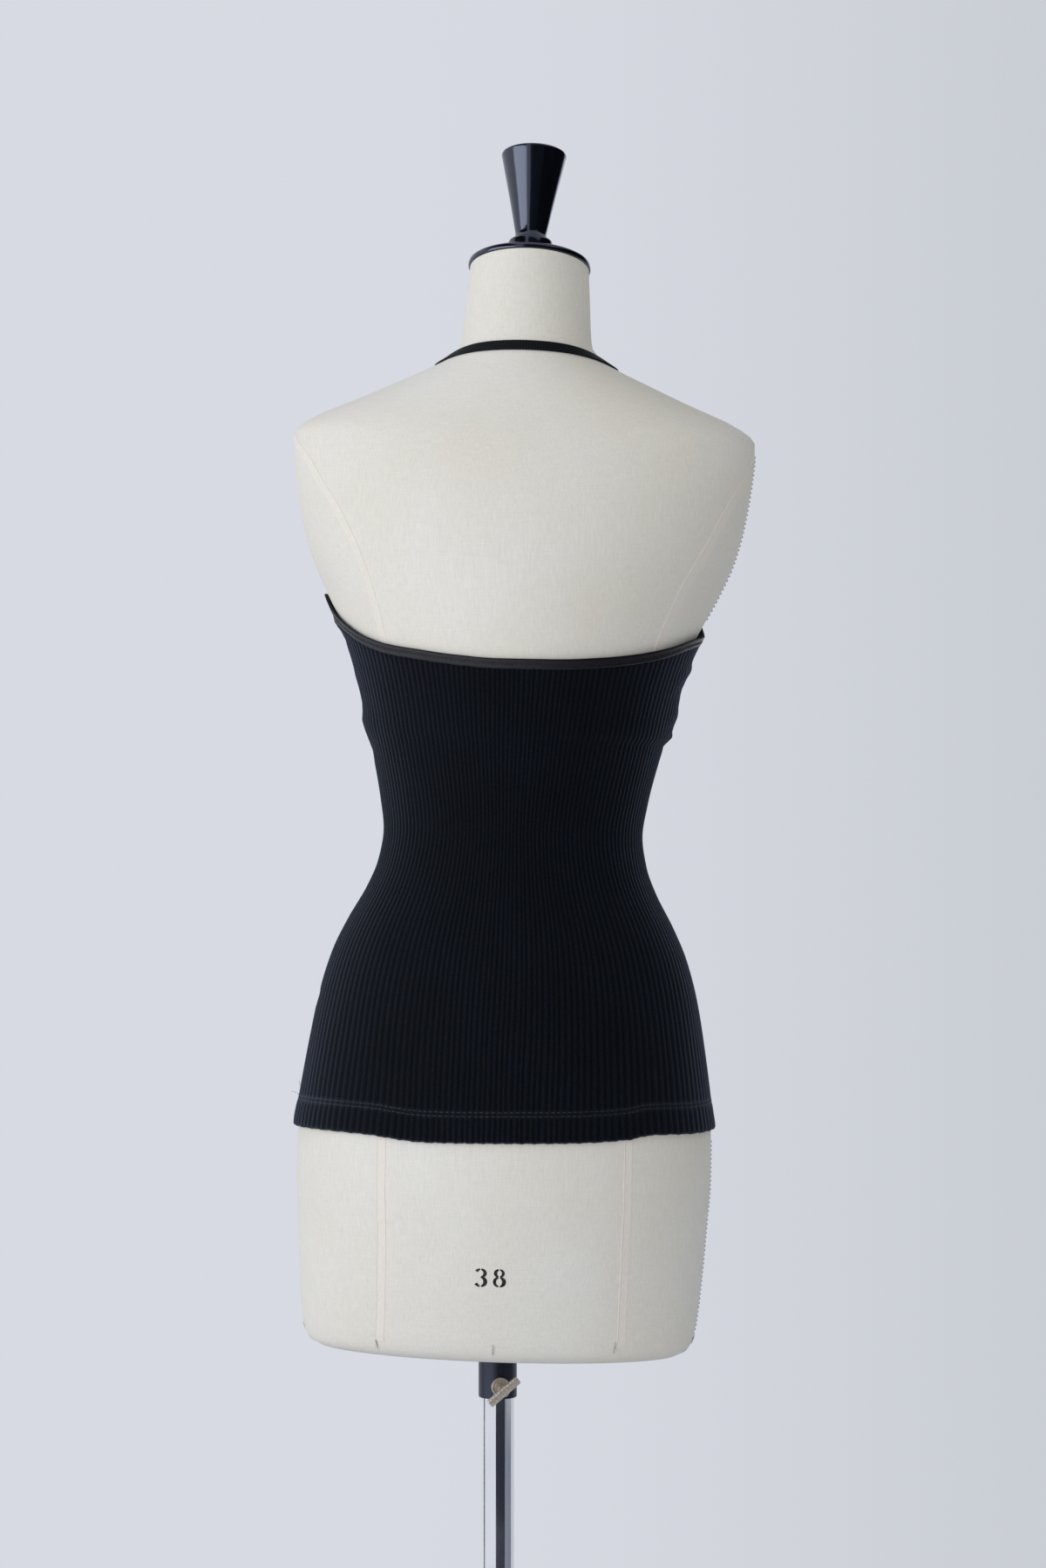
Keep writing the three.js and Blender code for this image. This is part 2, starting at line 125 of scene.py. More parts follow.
# Level sections of the torso: height, half width, reach to the back and front, how far forward the
# widest place lies, and how steeply the section climbs towards the back
SECTIONS = [
    [0, 148, 79, 85, 0, 0], [4, 156, 87, 93, 0, 0], [12, 160, 92, 98, 1, 0], [25, 163, 96, 100, 3, 0],
    [69, 167, 106, 103, 6, 0], [108, 169.5, 112, 105, 8, 0], [141, 171.3, 116, 105, 8, 0],
    [180, 170.8, 118, 104, 8, 0], [204, 167.6, 118, 103.5, 8, 0], [249, 160.4, 114, 101, 8, 0],
    [293, 152, 106, 99, 8, 0], [325, 142.6, 98, 97, 8, 0], [350, 131.2, 92, 96, 8, 0],
    [379, 115.4, 86, 95, 8, 0], [400, 107.4, 83, 95, 8, 0], [425, 103.6, 82, 95.5, 8, 0],
    [451, 107.2, 83, 98, 11.4, 0], [489, 115.2, 89, 106, 16.3, 0], [523, 123.2, 94.5, 113, 20.7, 0],
    [569, 137, 101, 118, 26.6, 0], [595, 149, 104, 119, 30, 0], [623, 163.2, 106, 116, 33.6, 0],
    [652, 175.9, 106.5, 108, 28, 0], [681, 183.5, 104, 98, 20, 0], [710, 188.1, 99, 86, 12, 0],
    [739, 190.8, 90, 74, 6, 0], [751, 190.5, 85, 69, 4, 0], [761, 180, 80, 64, 4, 0],
    [782, 133.5, 70, 55, 4, 0], [800, 94, 60, 50, 4, 0], [811, 71, 53, 49, 3, 0],
    [819, 60, 48.5, 49.5, 3, 0.02], [826, 54.8, 45.5, 50.5, 3, 0.06], [838, 53, 43, 53, 5, 0.1],
    [860, 51.5, 38.5, 58, 10, 0.17], [NECK_TOP, 49.3, 33, 65, 16, math.tan(HEAD_PITCH)],
]
WIDTH, BACK, FRONT, FORWARD, RISE = 1, 2, 3, 4, 5

# Heights between which the torso is divided evenly
TORSO_RINGS = [
    0, 4, 12, 25, 69, 180, 300, 425, 535, 623, 710, 739, 751, 761, 782, 800, 811, 819, 826, 838, 860,
    NECK_TOP,
]

# How far the cloth stands off the form: height, left side, middle, right side
SLACK = [
    [160, 1.0, 0.6, 1.6], [204, 0.2, 0.2, 0.4], [300, 0.6, 0.1, 0.6], [450, 0.4, 0.1, 0.5],
    [485, 0.6, 0.1, 1.0], [500, 1.6, 0.2, 1.8], [507, 2.0, 1.0, 5.4], [523, 1.2, 0.8, 4.4],
    [550, 1.0, 0.4, 3.6], [585, 0.4, 0.5, 3.0], [620, 0.3, 0.8, 1.5], [720, 0.3, 0.3, 0.3],
]
LEFT, MIDDLE, RIGHT = 1, 2, 3

# How much closer the ribs run in the middle of a panel than at its sides: height and share
GATHER = [
    [180, 0.19], [300, 0.16], [390, 0.15], [430, 0.16], [490, 0.14], [550, 0.13], [720, 0.12],
]

# Edges of the top: degrees run round the form from its left side over the back, heights as the torso's.
HEM_WAVE = [
    [0, 3], [38, 4.5], [51, 4], [72, -0.6], [90, -0.6], [112, -0.8], [127, 0.4], [135, 3], [158, 1.2],
    [180, 1], [270, 0], [360, 3],
]
BACK_EDGE = [
    [0, 620], [12, 602], [22, 592], [32, 583], [44, 576], [58, 571.5], [70, 568], [86, 565.5], [105, 566],
    [121, 568.7], [135, 573], [150, 580], [162, 587], [172, 591], [180, 592.5],
]
FRONT_EDGE = [
    [180, 592.5], [186, 594.5], [192, 598], [205, 611.5], [216, 633], [226, 647], [236, 665], [243, 684],
    [248, 704], [251, 713], [255, 706], [262, 692], [270, 687], [278, 692], [285, 706], [289, 713],
    [292, 704], [297, 686], [304, 668], [314, 650], [324, 638], [335, 628], [348, 621], [360, 620],
]
BACK_DEGREES = (0, 180)
FRONT_DEGREES = (180, 360)

# Bound edges: where each starts and ends, in degrees, and the length of elastic cut for it, in metres
BINDINGS = {
    "back_binding": (BACK_EDGE, 0.15, 179.85, 0.394),
    "armhole_binding_right": (FRONT_EDGE, 180.15, 250.4, 0.154),
    "armhole_binding_left": (FRONT_EDGE, 289.6, 359.85, 0.146),
    "neckline_binding": (FRONT_EDGE, 252.4, 287.6, 0.091),
}

# Middle line of the neck strap from the nape over a shoulder to the top of the front
STRAP_ROUTE = [
    [90, 820.6], [70, 820.3], [53, 819.6], [32, 817.3], [15, 813.9], [0, 811], [-14, 809.2],
]
# The straight part in front: how far it lies from the middle, at two heights
STRAP_LINE_HEIGHTS = [719, 809.2]
STRAP_LINE_SIDEWAYS = [65.3, 72.0]
# Its heights: from, to and step
STRAP_LINE_ROWS = (805, 704, -4.5)


# The shape of the form and of the cloth on it

def smooth(rows, at, column=1):
    """Value of a column at a height or an angle, on a smooth curve through the table's rows that never
    overshoots one."""
    table = np.asarray(rows, float)
    keys = table[:, 0]
    values = table[:, column]
    steps = np.diff(values) / np.diff(keys)
    product = steps[:-1] * steps[1:]
    total = np.where(product > 0, steps[:-1] + steps[1:], 1)
    inner = np.where(product > 0, 2 * product / total, 0)
    slopes = np.concatenate([steps[:1], inner, steps[-1:]])
    at = np.clip(np.asarray(at, float), keys[0], keys[-1])
    i = np.clip(np.searchsorted(keys, at, side="right") - 1, 0, len(keys) - 2)
    span = keys[i + 1] - keys[i]
    t = (at - keys[i]) / span
    rise = values[i + 1] - values[i]
    start = slopes[i] * span
    end = slopes[i + 1] * span
    square = t * t * (3 * rise - 2 * start - end)
    return values[i] + t * start + square + t * t * t * (start + end - 2 * rise)


def bust_depth(x, height):
    sideways = (np.abs(x) - BUST_SPACING) / BUST_WIDTH
    upwards = (height - BUST_HEIGHT) / BUST_RISE
    return BUST_FULLNESS * np.exp(-sideways**2 - upwards**2)


def spanned_depth(x, height):
    """Cloth spans the hollow between the two sides of the bust."""
    return bust_depth(np.maximum(np.abs(x), BUST_SPACING), height)


def torso_point(angle, height, off=0.0, depth_of_bust=bust_depth):
    """Points on the torso, or off it by some millimetres, at angles round it and heights"""
    angle, height, off = np.broadcast_arrays(angle, height, off)
    side = np.sin(angle)
    x = (smooth(SECTIONS, height, WIDTH) + off) * np.cos(angle)
    forward = smooth(SECTIONS, height, FORWARD)
    lobe = depth_of_bust(x, height) * np.clip(-2 * side, 0, 1)
    front = smooth(SECTIONS, height, FRONT) + lobe - forward
    back = smooth(SECTIONS, height, BACK) + forward
    across = (np.where(side < 0, front, back) + off) * side
    z = height + smooth(SECTIONS, height, RISE) * across
    return np.stack([x, across - forward, z], axis=-1)


def slack(angle, height):
    sideways = np.cos(angle)
    share = sideways**2
    side = np.where(sideways > 0, smooth(SLACK, height, LEFT), smooth(SLACK, height, RIGHT))
    return side * share + smooth(SLACK, height, MIDDLE) * (1 - share)


def cloth_point(angle, height, off):
    """Points on the worn cloth, some millimetres off the form beside its slack"""
    return torso_point(angle, height, off + slack(angle, height), spanned_depth)


def unit(vectors):
    return vectors / np.linalg.norm(vectors, axis=-1, keepdims=True)


def length_of(line):
    return np.linalg.norm(np.diff(line, axis=0), axis=1).sum()


def torso_normal(angle, height):
    round_it = torso_point(angle + 0.01, height) - torso_point(angle - 0.01, height)
    up = torso_point(angle, height + 1) - torso_point(angle, height - 1)
    return unit(np.cross(round_it, up))


def in_room(points):
    """From the upright form's millimetres to the leaning form's metres"""
    x, y, height = np.moveaxis(np.asarray(points, float), -1, 0)
    leant = x * math.cos(TORSO_LEAN) - height * math.sin(TORSO_LEAN)
    z = TORSO_BOTTOM + x * math.sin(TORSO_LEAN) + height * math.cos(TORSO_LEAN)
    return np.stack([leant, y, z], axis=-1) * MM


def hem_height(degrees):
    """Height of the hem, level in the room, so it slants on the leaning form"""
    x = torso_point(np.radians(degrees), HEM_HEIGHT)[..., 0]
    return HEM_HEIGHT - x * math.tan(TORSO_LEAN) + smooth(HEM_WAVE, degrees)


def panel_top(edge, degrees, ends):
    """Lower border of the elastic: its width, measured along the cloth, is taken off the edge."""
    here = smooth(edge, degrees)
    place = torso_point(np.radians(degrees), here)
    steepest = np.zeros_like(here)
    for window in (-3, 3):
        at = np.clip(degrees + window, *ends)
        run = np.linalg.norm(torso_point(np.radians(at), here) - place, axis=-1)
        climb = np.abs(smooth(edge, at) - here)
        steepest = np.maximum(steepest, climb / np.maximum(run, 0.001))
    return here - (ELASTIC_WIDTH + ELASTIC_ROOM) * np.hypot(1, steepest)


def panel_degrees(share, ends, height):
    """A panel runs between two side seams. Its share counts from 0 at the first seam to 1 at the other."""
    turn = share + smooth(GATHER, height) / math.pi * np.sin(2 * math.pi * share)
    seam = math.degrees(SEAM_GAP / 2 / SEAM_RADIUS)
    return ends[0] + seam + (ends[1] - ends[0] - 2 * seam) * turn


# Making pieces

def surface(across, up, place, wrap=False, uv_size=(1, 1)):
    """A grid of so many cells across and up, laid on a shape: place gives the points for the numbers of
    its lines. A grid that wraps closes on its first line."""
    shape = bmesh.new()
    uv = shape.loops.layers.uv.new("cloth")
    bmesh.ops.create_grid(shape, x_segments=across, y_segments=up, size=0.5, calc_uvs=True)
    for face in shape.faces:
        for loop in face.loops:
            loop[uv].uv = (loop[uv].uv.x * uv_size[0], loop[uv].uv.y * uv_size[1])
    flat = np.array([vertex.co for vertex in shape.verts])[:, :2] + 0.5
    i, j = np.rint(flat * (across, up)).astype(int).T
    points = place(i % across if wrap else i, j)
    for vertex, point in zip(shape.verts, points):
        vertex.co = point
    if wrap:
        bmesh.ops.remove_doubles(shape, verts=shape.verts, dist=1e-7)
    return shape


def close_ends(shape):
    open_edges = [edge for edge in shape.edges if edge.is_boundary]
    bmesh.ops.holes_fill(shape, edges=open_edges, sides=0)
    bmesh.ops.recalc_face_normals(shape, faces=shape.faces)


def swept(middle, across, off, section, length):
    """A closed skin round a line. The section's points are its steps across the line and off the form."""
    section = np.asarray(section, float)

    def place(i, j):
        return in_room(middle[j] + across[j] * section[i, :1] + off[j] * section[i, 1:])

    shape = surface(len(section), len(middle) - 1, place, wrap=True, uv_size=(1, length))
    close_ends(shape)
    return shape


def turned(profile, sides):
    """A piece turned on a lathe, from the radius and height of its outline's corners, in millimetres"""
    shape = bmesh.new()
    corners = [shape.verts.new((radius * MM, 0, height * MM)) for radius, height in profile]
    edges = [shape.edges.new(pair) for pair in zip(corners, corners[1:])]
    spun = {"axis": (0, 0, 1), "cent": (0, 0, 0), "angle": 2 * math.pi, "steps": sides}
    bmesh.ops.spin(shape, geom=corners + edges, use_merge=True, **spun)
    bmesh.ops.remove_doubles(shape, verts=shape.verts, dist=1e-6)
    bmesh.ops.recalc_face_normals(shape, faces=shape.faces)
    return shape


def moved(shape, matrix):
    bmesh.ops.transform(shape, matrix=matrix, verts=shape.verts)


def join(shape, other):
    """Adds another bmesh to this one."""
    holder = bpy.data.meshes.new("joined")
    other.to_mesh(holder)
    other.free()
    shape.from_mesh(holder)
    bpy.data.meshes.remove(holder)


def thread_stitch(shape, start, end, off, thickness):
    """One stitch of thread, a slim grain from start to end that stands on its cloth"""
    along = Vector(end) - Vector(start)
    away = Vector(off).normalized()
    side = along.normalized().cross(away).normalized()
    away = side.cross(along.normalized())
    half = thickness * MM / 2
    turn = Matrix((along / 2, side * half, away * half)).transposed().to_4x4()
    middle = (Vector(start) + Vector(end)) / 2
    bmesh.ops.create_icosphere(shape, subdivisions=1, radius=1, matrix=Matrix.Translation(middle) @ turn)


def piece(name, shape, body, finish, nodes=(), sharp=40):
    """Makes the mesh an object that rides on a body, has its finish, and stands for its CAD nodes."""
    for face in shape.faces:
        face.smooth = True
    limit = math.radians(sharp)
    for edge in shape.edges:
        if len(edge.link_faces) == 2 and edge.calc_face_angle() > limit:
            edge.smooth = False
    mesh = bpy.data.meshes.new(name)
    shape.to_mesh(mesh)
    shape.free()
    for one in finish if isinstance(finish, list) else [finish]:
        mesh.materials.append(one)
    made = bpy.data.objects.new(name, mesh)
    bpy.context.scene.collection.objects.link(made)
    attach(made, body)
    if nodes:
        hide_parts(*nodes)
    return made


# Materials

def linear(code):
    """sRGB hex colour as the linear values that a shader takes"""
    parts = [int(code[i : i + 2], 16) / 255 for i in (0, 2, 4)]
    light = [part / 12.92 if part <= 0.04045 else ((part + 0.055) / 1.055) ** 2.4 for part in parts]
    return (*light, 1)


def node(tree, kind, settings=None, values=None, links=None, stops=None):
    """Adds a node: settings are its own choices, values and links go to its sockets, stops to its ramp."""
    made = tree.nodes.new("ShaderNode" + kind)
    for name, value in (settings or {}).items():
        setattr(made, name, value)
    for name, value in (values or {}).items():
        made.inputs[name].default_value = value
    for name, source in (links or {}).items():
        tree.links.new(source, made.inputs[name])
    for i, (position, code) in enumerate(stops or []):
        ramp = made.color_ramp
        stop = ramp.elements[i] if i < len(ramp.elements) else ramp.elements.new(position)
        stop.position = position
        stop.color = linear(code)
    return made


def material(name, values):
    """A material whose shader has these values, and its node tree"""
    made = bpy.data.materials.new(name)
    made.use_nodes = True
    shader = made.node_tree.nodes["Principled BSDF"]
    for socket, value in values.items():
        shader.inputs[socket].default_value = value
    return made, made.node_tree, shader


def cloth(name, roughness, specular, sheen, sheen_roughness, bloom="FFFFFF"):
    """A dull or satin textile with a sheen of its fibres' own tint"""
    values = {"Roughness": roughness, "Specular IOR Level": specular}
    values |= {"Sheen Weight": sheen, "Sheen Roughness": sheen_roughness, "Sheen Tint": linear(bloom)}
    return material(name, values)


def noise(tree, sizes, detail=2.0, roughness=0.5):
    """A cloudy pattern in real sizes: how long its lumps are in metres, along x, y and z"""
    place = node(tree, "TexCoord").outputs["Object"]
    steps = [1 / size for size in sizes]
    spaced = node(tree, "Mapping", values={"Scale": steps}, links={"Vector": place}).outputs["Vector"]
    values = {"Scale": 1.0, "Detail": detail, "Roughness": roughness}
    return node(tree, "TexNoise", values=values, links={"Vector": spaced}).outputs["Fac"]


def rows_across(tree, values):
    """Even rows across a cloth, counted in millimetres along its own length"""
    uv = node(tree, "UVMap", {"uv_map": "cloth"}).outputs["UV"]
    settings = {"wave_type": "BANDS", "bands_direction": "Y", "wave_profile": "SIN"}
    return node(tree, "TexWave", settings, values, {"Vector": uv}).outputs["Fac"]


def tone(tree, pattern, *stops):
    """Colours that follow a pattern, from stop to stop"""
    return node(tree, "ValToRGB", links={"Fac": pattern}, stops=stops).outputs["Color"]


def darkened(tree, colour, shade):
    settings = {"data_type": "RGBA", "blend_type": "MULTIPLY"}
    return node(tree, "Mix", settings, {0: 1.0}, {6: colour, 7: shade}).outputs[2]


def dye(tree, shader, colour):
    tree.links.new(colour, shader.inputs["Base Color"])


def gloss(tree, shader, pattern, values):
    """Roughness that follows a pattern between two values"""
    made = node(tree, "MapRange", values=values, links={"Value": pattern})
    tree.links.new(made.outputs["Result"], shader.inputs["Roughness"])


def bump(tree, shader, height, distance, strength=1.0, before=None):
    """Relief of a real depth in metres, on top of an earlier one"""
    links = {"Height": height}
    if before:
        links["Normal"] = before
    made = node(tree, "Bump", values={"Distance": distance, "Strength": strength}, links=links)
    tree.links.new(made.outputs["Normal"], shader.inputs["Normal"])
    return made.outputs["Normal"]


def grained(name, values, sizes, dark, light, relief=None, detail=2.0):
    """A material whose tone, and relief if it has one, follow one fine pattern"""
    made, tree, shader = material(name, values)
    grain = noise(tree, sizes, detail)
    dye(tree, shader, tone(tree, grain, dark, light))
    if relief:
        bump(tree, shader, grain, relief)
    return made


def black_cotton_rib():
    """Fine black cotton rib, knitted 1 by 1 and worn stretched: a dull crown to each rib with painted shade
    in the grooves between, loops of about 1 mm that barely show, and a soft bluish bloom at the sides from
    its fibres."""
    made, tree, shader = cloth("black_cotton_rib", 0.9, 0.12, 0.4, 0.4, "A4B2CC")
    crown = node(tree, "Attribute", {"attribute_name": "crown"}).outputs["Fac"]
    lint = noise(tree, (0.0016, 0.0016, 0.0028), 3.0, 0.6)
    cloud = noise(tree, (0.045, 0.045, 0.06))
    # Painted shade: the crown attribute darkens the colour in the grooves between the ribs, at the seams'
    # tucks and along the hem's fold.
    painted_groove_shade = tone(tree, crown, (0.1, "03050A"), (0.85, "0E141F"))
    worn = tone(tree, lint, (0.35, "B8B8B8"), (0.72, "FFFFFF"))
    faded = tone(tree, cloud, (0.3, "CFCFCF"), (0.7, "FFFFFF"))
    dye(tree, shader, darkened(tree, darkened(tree, painted_groove_shade, worn), faded))
    loops = rows_across(tree, {"Scale": 0.285, "Distortion": 0.8, "Detail": 1.0, "Detail Scale": 0.7})
    knitted = bump(tree, shader, loops, 0.00016)
    bump(tree, shader, lint, 0.00018, before=knitted)
    return made


def satin_elastic():
    """Woven satin elastic in charcoal, folded over the edge: smooth, with a faint blue-violet shine that
    runs along it."""
    made, tree, shader = cloth("satin_elastic", 0.4, 0.4, 0.14, 0.35, "B9B9CC")
    patch = noise(tree, (0.004, 0.004, 0.002), 3.0)
    dye(tree, shader, tone(tree, patch, (0.3, "0F0D16"), (0.75, "15131B")))
    bump(tree, shader, rows_across(tree, {"Scale": 0.45, "Distortion": 1.2, "Detail": 1.0}), 0.0001)
    return made


def ribbed_elastic():
    """Narrow black elastic for the strap: matt, with fine ribs across it every 0.9 mm, and painted shade in
    the grooves between them.
    """
    made, tree, shader = cloth("ribbed_elastic", 0.7, 0.2, 0.06, 0.4, "AEB4C6")
    ribs = rows_across(tree, {"Scale": 0.35, "Distortion": 0.3})
    # Painted shade: the colour follows the ribs, darker in their grooves.
    dye(tree, shader, tone(tree, ribs, (0.2, "060709"), (0.8, "0F1116")))
    bump(tree, shader, ribs, 0.0002)
    return made


def spun_thread(name, code, roughness=0.6):
    """Polyester sewing thread: a twisted yarn, so its colour breaks up every half millimetre."""
    dark = "".join(f"{int(int(code[i : i + 2], 16) * 0.7):02X}" for i in (0, 2, 4))
    values = {"Roughness": roughness, "Sheen Weight": 0.2}
    return grained(name, values, (0.0005, 0.0005, 0.0005), (0.35, dark), (0.65, code), 0.0001, 1.0)


def linen_canvas():
    """Unbleached linen canvas, stretched over the form: threads of about 1 mm with slubs along and across,
    slightly uneven in tone, and dull."""
    made, tree, shader = cloth("unbleached_linen_canvas", 0.92, 0.2, 0.08, 0.5)
    upright = noise(tree, (0.0011, 0.0011, 0.011), roughness=0.6)
    level = noise(tree, (0.011, 0.011, 0.0009), roughness=0.6)
    woven = node(tree, "Mix", {"data_type": "FLOAT"}, {0: 0.35}, {2: upright, 3: level}).outputs[0]
    thread = tone(tree, woven, (0.3, "D4D1C8"), (0.7, "E1DED6"))
    aged = tone(tree, noise(tree, (0.12, 0.12, 0.16)), (0.3, "FBF8F1"), (0.7, "FFFFFF"))
    dye(tree, shader, darkened(tree, thread, aged))
    bump(tree, shader, woven, 0.00012, strength=0.4)
    return made


def stove_enamel():
    """Black stove enamel on steel and iron: satin, with a fine orange peel."""
    values = {"Specular IOR Level": 0.85, "Specular Tint": linear("D8DEFF")}
    made, tree, shader = material("black_stove_enamel", values)
    peel = noise(tree, (0.0016, 0.0016, 0.0016))
    dust = noise(tree, (0.05, 0.05, 0.05), 4.0, 0.65)
    dye(tree, shader, tone(tree, dust, (0.35, "0B0D13"), (0.75, "171A23")))
    gloss(tree, shader, dust, {"To Min": 0.3, "To Max": 0.46})
    bump(tree, shader, peel, 0.00005)
    return made


def polished_chrome():
    """Chrome on a drawn steel tube: mirror bright, with hair-fine lines along it and a few dull smudges."""
    made, tree, shader = material("polished_chrome", {"Metallic": 1.0})
    drawn = noise(tree, (0.0007, 0.0007, 0.12))
    smudge = noise(tree, (0.02, 0.02, 0.05), 3.0)
    dye(tree, shader, tone(tree, smudge, (0.3, "F2F4F8"), (0.7, "FAFBFD")))
    gloss(tree, shader, smudge, {"From Min": 0.4, "From Max": 0.8, "To Min": 0.06, "To Max": 0.16})
    bump(tree, shader, drawn, 0.00001)
    return made


def cast_nickel():
    """Nickel plate on a cast brass screw: warm pale grey, satin, darker in its hollows and dulled by
    fingers."""
    made, tree, shader = material("nickel_plated_brass", {"Metallic": 0.62})
    grain = noise(tree, (0.0012, 0.0012, 0.0012), 3.0)
    dye(tree, shader, tone(tree, grain, (0.3, "B3A899"), (0.7, "D6CCBD")))
    gloss(tree, shader, grain, {"To Min": 0.24, "To Max": 0.46})
    bump(tree, shader, grain, 0.00006)
    return made


def plain_board(name, code):
    """Dull studio board in one tone"""
    return material(name, {"Base Color": linear(code), "Roughness": 1.0, "Specular IOR Level": 0.0})[0]


KNIT = black_cotton_rib()
SATIN = satin_elastic()
STRAP_CLOTH = ribbed_elastic()
HEM_THREAD = spun_thread("hem_thread", "262A33")
ZIGZAG_THREAD = spun_thread("zigzag_thread", "060608", 0.45)
FORM_THREAD = spun_thread("form_thread", "D9D3C6", 0.8)
LINEN = linen_canvas()
ENAMEL = stove_enamel()
CHROME = polished_chrome()
NICKEL = cast_nickel()

# Twilled cotton tape, cream with a warm cast, glued over the seams of the form
TAPE = grained(
    "cream_cotton_tape",
    {"Roughness": 0.9, "Specular IOR Level": 0.2},
    (0.001, 0.001, 0.004),
    (0.3, "DAD3C7"),
    (0.7, "E2DBCF"),
    relief=0.00012,
)
# Black piano lacquer on turned wood: deep and wet-looking, with sharp reflections that waver a
# little over the grain
LACQUER = grained(
    "black_lacquer_on_turned_wood",
    {"Roughness": 0.14, "Specular IOR Level": 1.0, "Specular Tint": linear("DCE4FF"), "IOR": 1.56},
    (0.006, 0.006, 0.03),
    (0.3, "07090D"),
    (0.7, "0D1017"),
    relief=0.00008,
)
# Plain steel wire: pale grey, with the tone of its drawing marks
WIRE = grained(
    "staple_wire",
    {"Metallic": 0.35, "Roughness": 0.34},
    (0.0008, 0.0008, 0.002),
    (0.35, "A4A4A2"),
    (0.65, "CFCFCC"),
)
# Black ink stamped on linen: matt, and thinner where the cloth's threads dip
INK = grained(
    "stamped_black_ink",
    {"Roughness": 0.85, "Specular IOR Level": 0.2},
    (0.001, 0.001, 0.001),
    (0.4, "18181A"),
    (0.8, "4A4946"),
)
# Matt pale studio floor with the faintest mottle
FLOOR = grained(
    "matt_studio_floor",
    {"Roughness": 0.9, "Specular IOR Level": 0.1},
    (0.4, 0.4, 0.4),
    (0.3, "E2E4E9"),
    (0.7, "E7E9ED"),
)


# The form

def divided(rows, longest):
    """Heights from the first to the last of the rows, with no step longer than that"""
    heights = [rows[0]]
    for low, high in zip(rows, rows[1:]):
        parts = math.ceil((high - low) / longest)
        heights += [low + (high - low) * (i + 1) / parts for i in range(parts)]
    return np.array(heights, float)


def make_linen_form():
    heights = divided(TORSO_RINGS, TORSO_STEP)

    def place(i, j):
        return in_room(torso_point(2 * math.pi * i / TORSO_SIDES, heights[j]))

    shape = surface(TORSO_SIDES, len(heights) - 1, place, wrap=True)
    low = (TORSO_BOTTOM + 200) * MM
    rim = [edge for edge in shape.edges if edge.is_boundary and edge.verts[0].co.z < low]
    # Under the form the linen runs in to the bore, which rises plumb round the pole.
    made = bmesh.ops.extrude_edge_only(shape, edges=rim)["geom"]
    for vertex in [one for one in made if isinstance(one, bmesh.types.BMVert)]:
        angle = math.atan2(vertex.co.y, vertex.co.x)
        x = BORE_RADIUS * math.cos(angle)
        height = TORSO_BOTTOM + x * math.tan(TORSO_LEAN)
        vertex.co = (x * MM, BORE_RADIUS * math.sin(angle) * MM, height * MM)
    rim = [one for one in made if isinstance(one, bmesh.types.BMEdge) and one.is_boundary]
    made = bmesh.ops.extrude_edge_only(shape, edges=rim)["geom"]
    for vertex in [one for one in made if isinstance(one, bmesh.types.BMVert)]:
        vertex.co.z = (TORSO_BOTTOM + BORE_TOP) * MM
    close_ends(shape)
    return piece("linen_form", shape, "form", LINEN, ["torso"])


def stations_on_form(route, spacing, settle=0):
    """Places along a route of degrees and heights on the form: its line, the ways across it and off it.
    A route that settles is drawn straighter, as a stretched elastic is."""
    fine = np.linspace(0, len(route) - 1, 10 * len(route))
    line = np.array([smooth([(i, row[column]) for i, row in enumerate(route)], fine) for column in (0, 1)])
    for _ in range(settle):
        line[:, 1:-1] = (line[:, :-2] + 2 * line[:, 1:-1] + line[:, 2:]) / 4

    def at(t):
        return np.radians(np.interp(t, fine, line[0])), np.interp(t, fine, line[1])

    rough = torso_point(*at(np.linspace(0, len(route) - 1, 200)))
    length = length_of(rough)
    t = np.linspace(0, len(route) - 1, max(2, round(length / spacing)) + 1)
    along = torso_point(*at(t + 0.01)) - torso_point(*at(t - 0.01))
    along[0] = torso_point(*at(t[:1] + 0.02))[0] - torso_point(*at(t[:1]))[0]
    along[-1] = torso_point(*at(t[-1:]))[0] - torso_point(*at(t[-1:] - 0.02))[0]
    off = torso_normal(*at(t))
    return torso_point(*at(t)), unit(np.cross(off, unit(along))), off, length


def flat_section(width, low, high, rounding=0.3):
    """Cross-section of a band that lies on the form: width across, from low to high off it"""
    half = width / 2
    soft = min(rounding, (high - low) / 2)
    return [
        (-half + soft, low), (0, low), (half - soft, low), (half, low + soft), (half, high - soft),
        (half - soft, high), (half / 2, high), (0, high), (-half / 2, high), (-half + soft, high),
        (-half, high - soft), (-half, low + soft),
    ]


# Tapes over the seams of the form: width, and route of degrees and heights
SEAM_TAPES = {
    "seam_tape_back_left": (
        8,
        [[6, 748], [13, 740], [22.5, 727.5], [30.5, 704.4], [36, 688], [39.5, 670.5], [42.4, 650],
         [43.3, 628], [42.8, 603], [41.5, 583], [40.6, 560]],
    ),
    "seam_tape_back_right": (
        11,
        [[176.6, 742], [168.8, 723], [160.9, 706], [154.4, 684], [149.9, 660.5], [146.5, 638], [145.3, 620],
         [145.3, 595], [146.3, 573], [147.3, 558]],
    ),
    "seam_tape_skirt_left": (7.5, [[57.2, 196], [57.5, 150], [57.6, 112], [56.7, 41], [55.4, 14]]),
    "seam_tape_skirt_right": (6.5, [[128, 196], [128.1, 150], [128.3, 118], [129, 49], [129.8, 14]]),
}
# The rolled seam stands along the edge of a tape: which edge, in steps across it.
SEAM_EDGE = {
    "seam_tape_back_right": -3.9,
    "seam_tape_skirt_right": -3.6,
    "seam_tape_skirt_left": -3.9,
}
# In front the tapes of the two sides mirror each other.
for part, route in (
    ("front", [[-33, 770], [-38, 745], [-43, 700], [-49, 650], [-52, 612]]),
    ("front_skirt", [[-52, 196], [-52, 150], [-51.5, 90], [-51, 14]]),
):
    SEAM_TAPES[f"seam_tape_{part}_left"] = (7.5, route)
    SEAM_TAPES[f"seam_tape_{part}_right"] = (7.5, [[180 - degrees, height] for degrees, height in route])
    SEAM_EDGE[f"seam_tape_{part}_left"] = 3.9
    SEAM_EDGE[f"seam_tape_{part}_right"] = -3.9


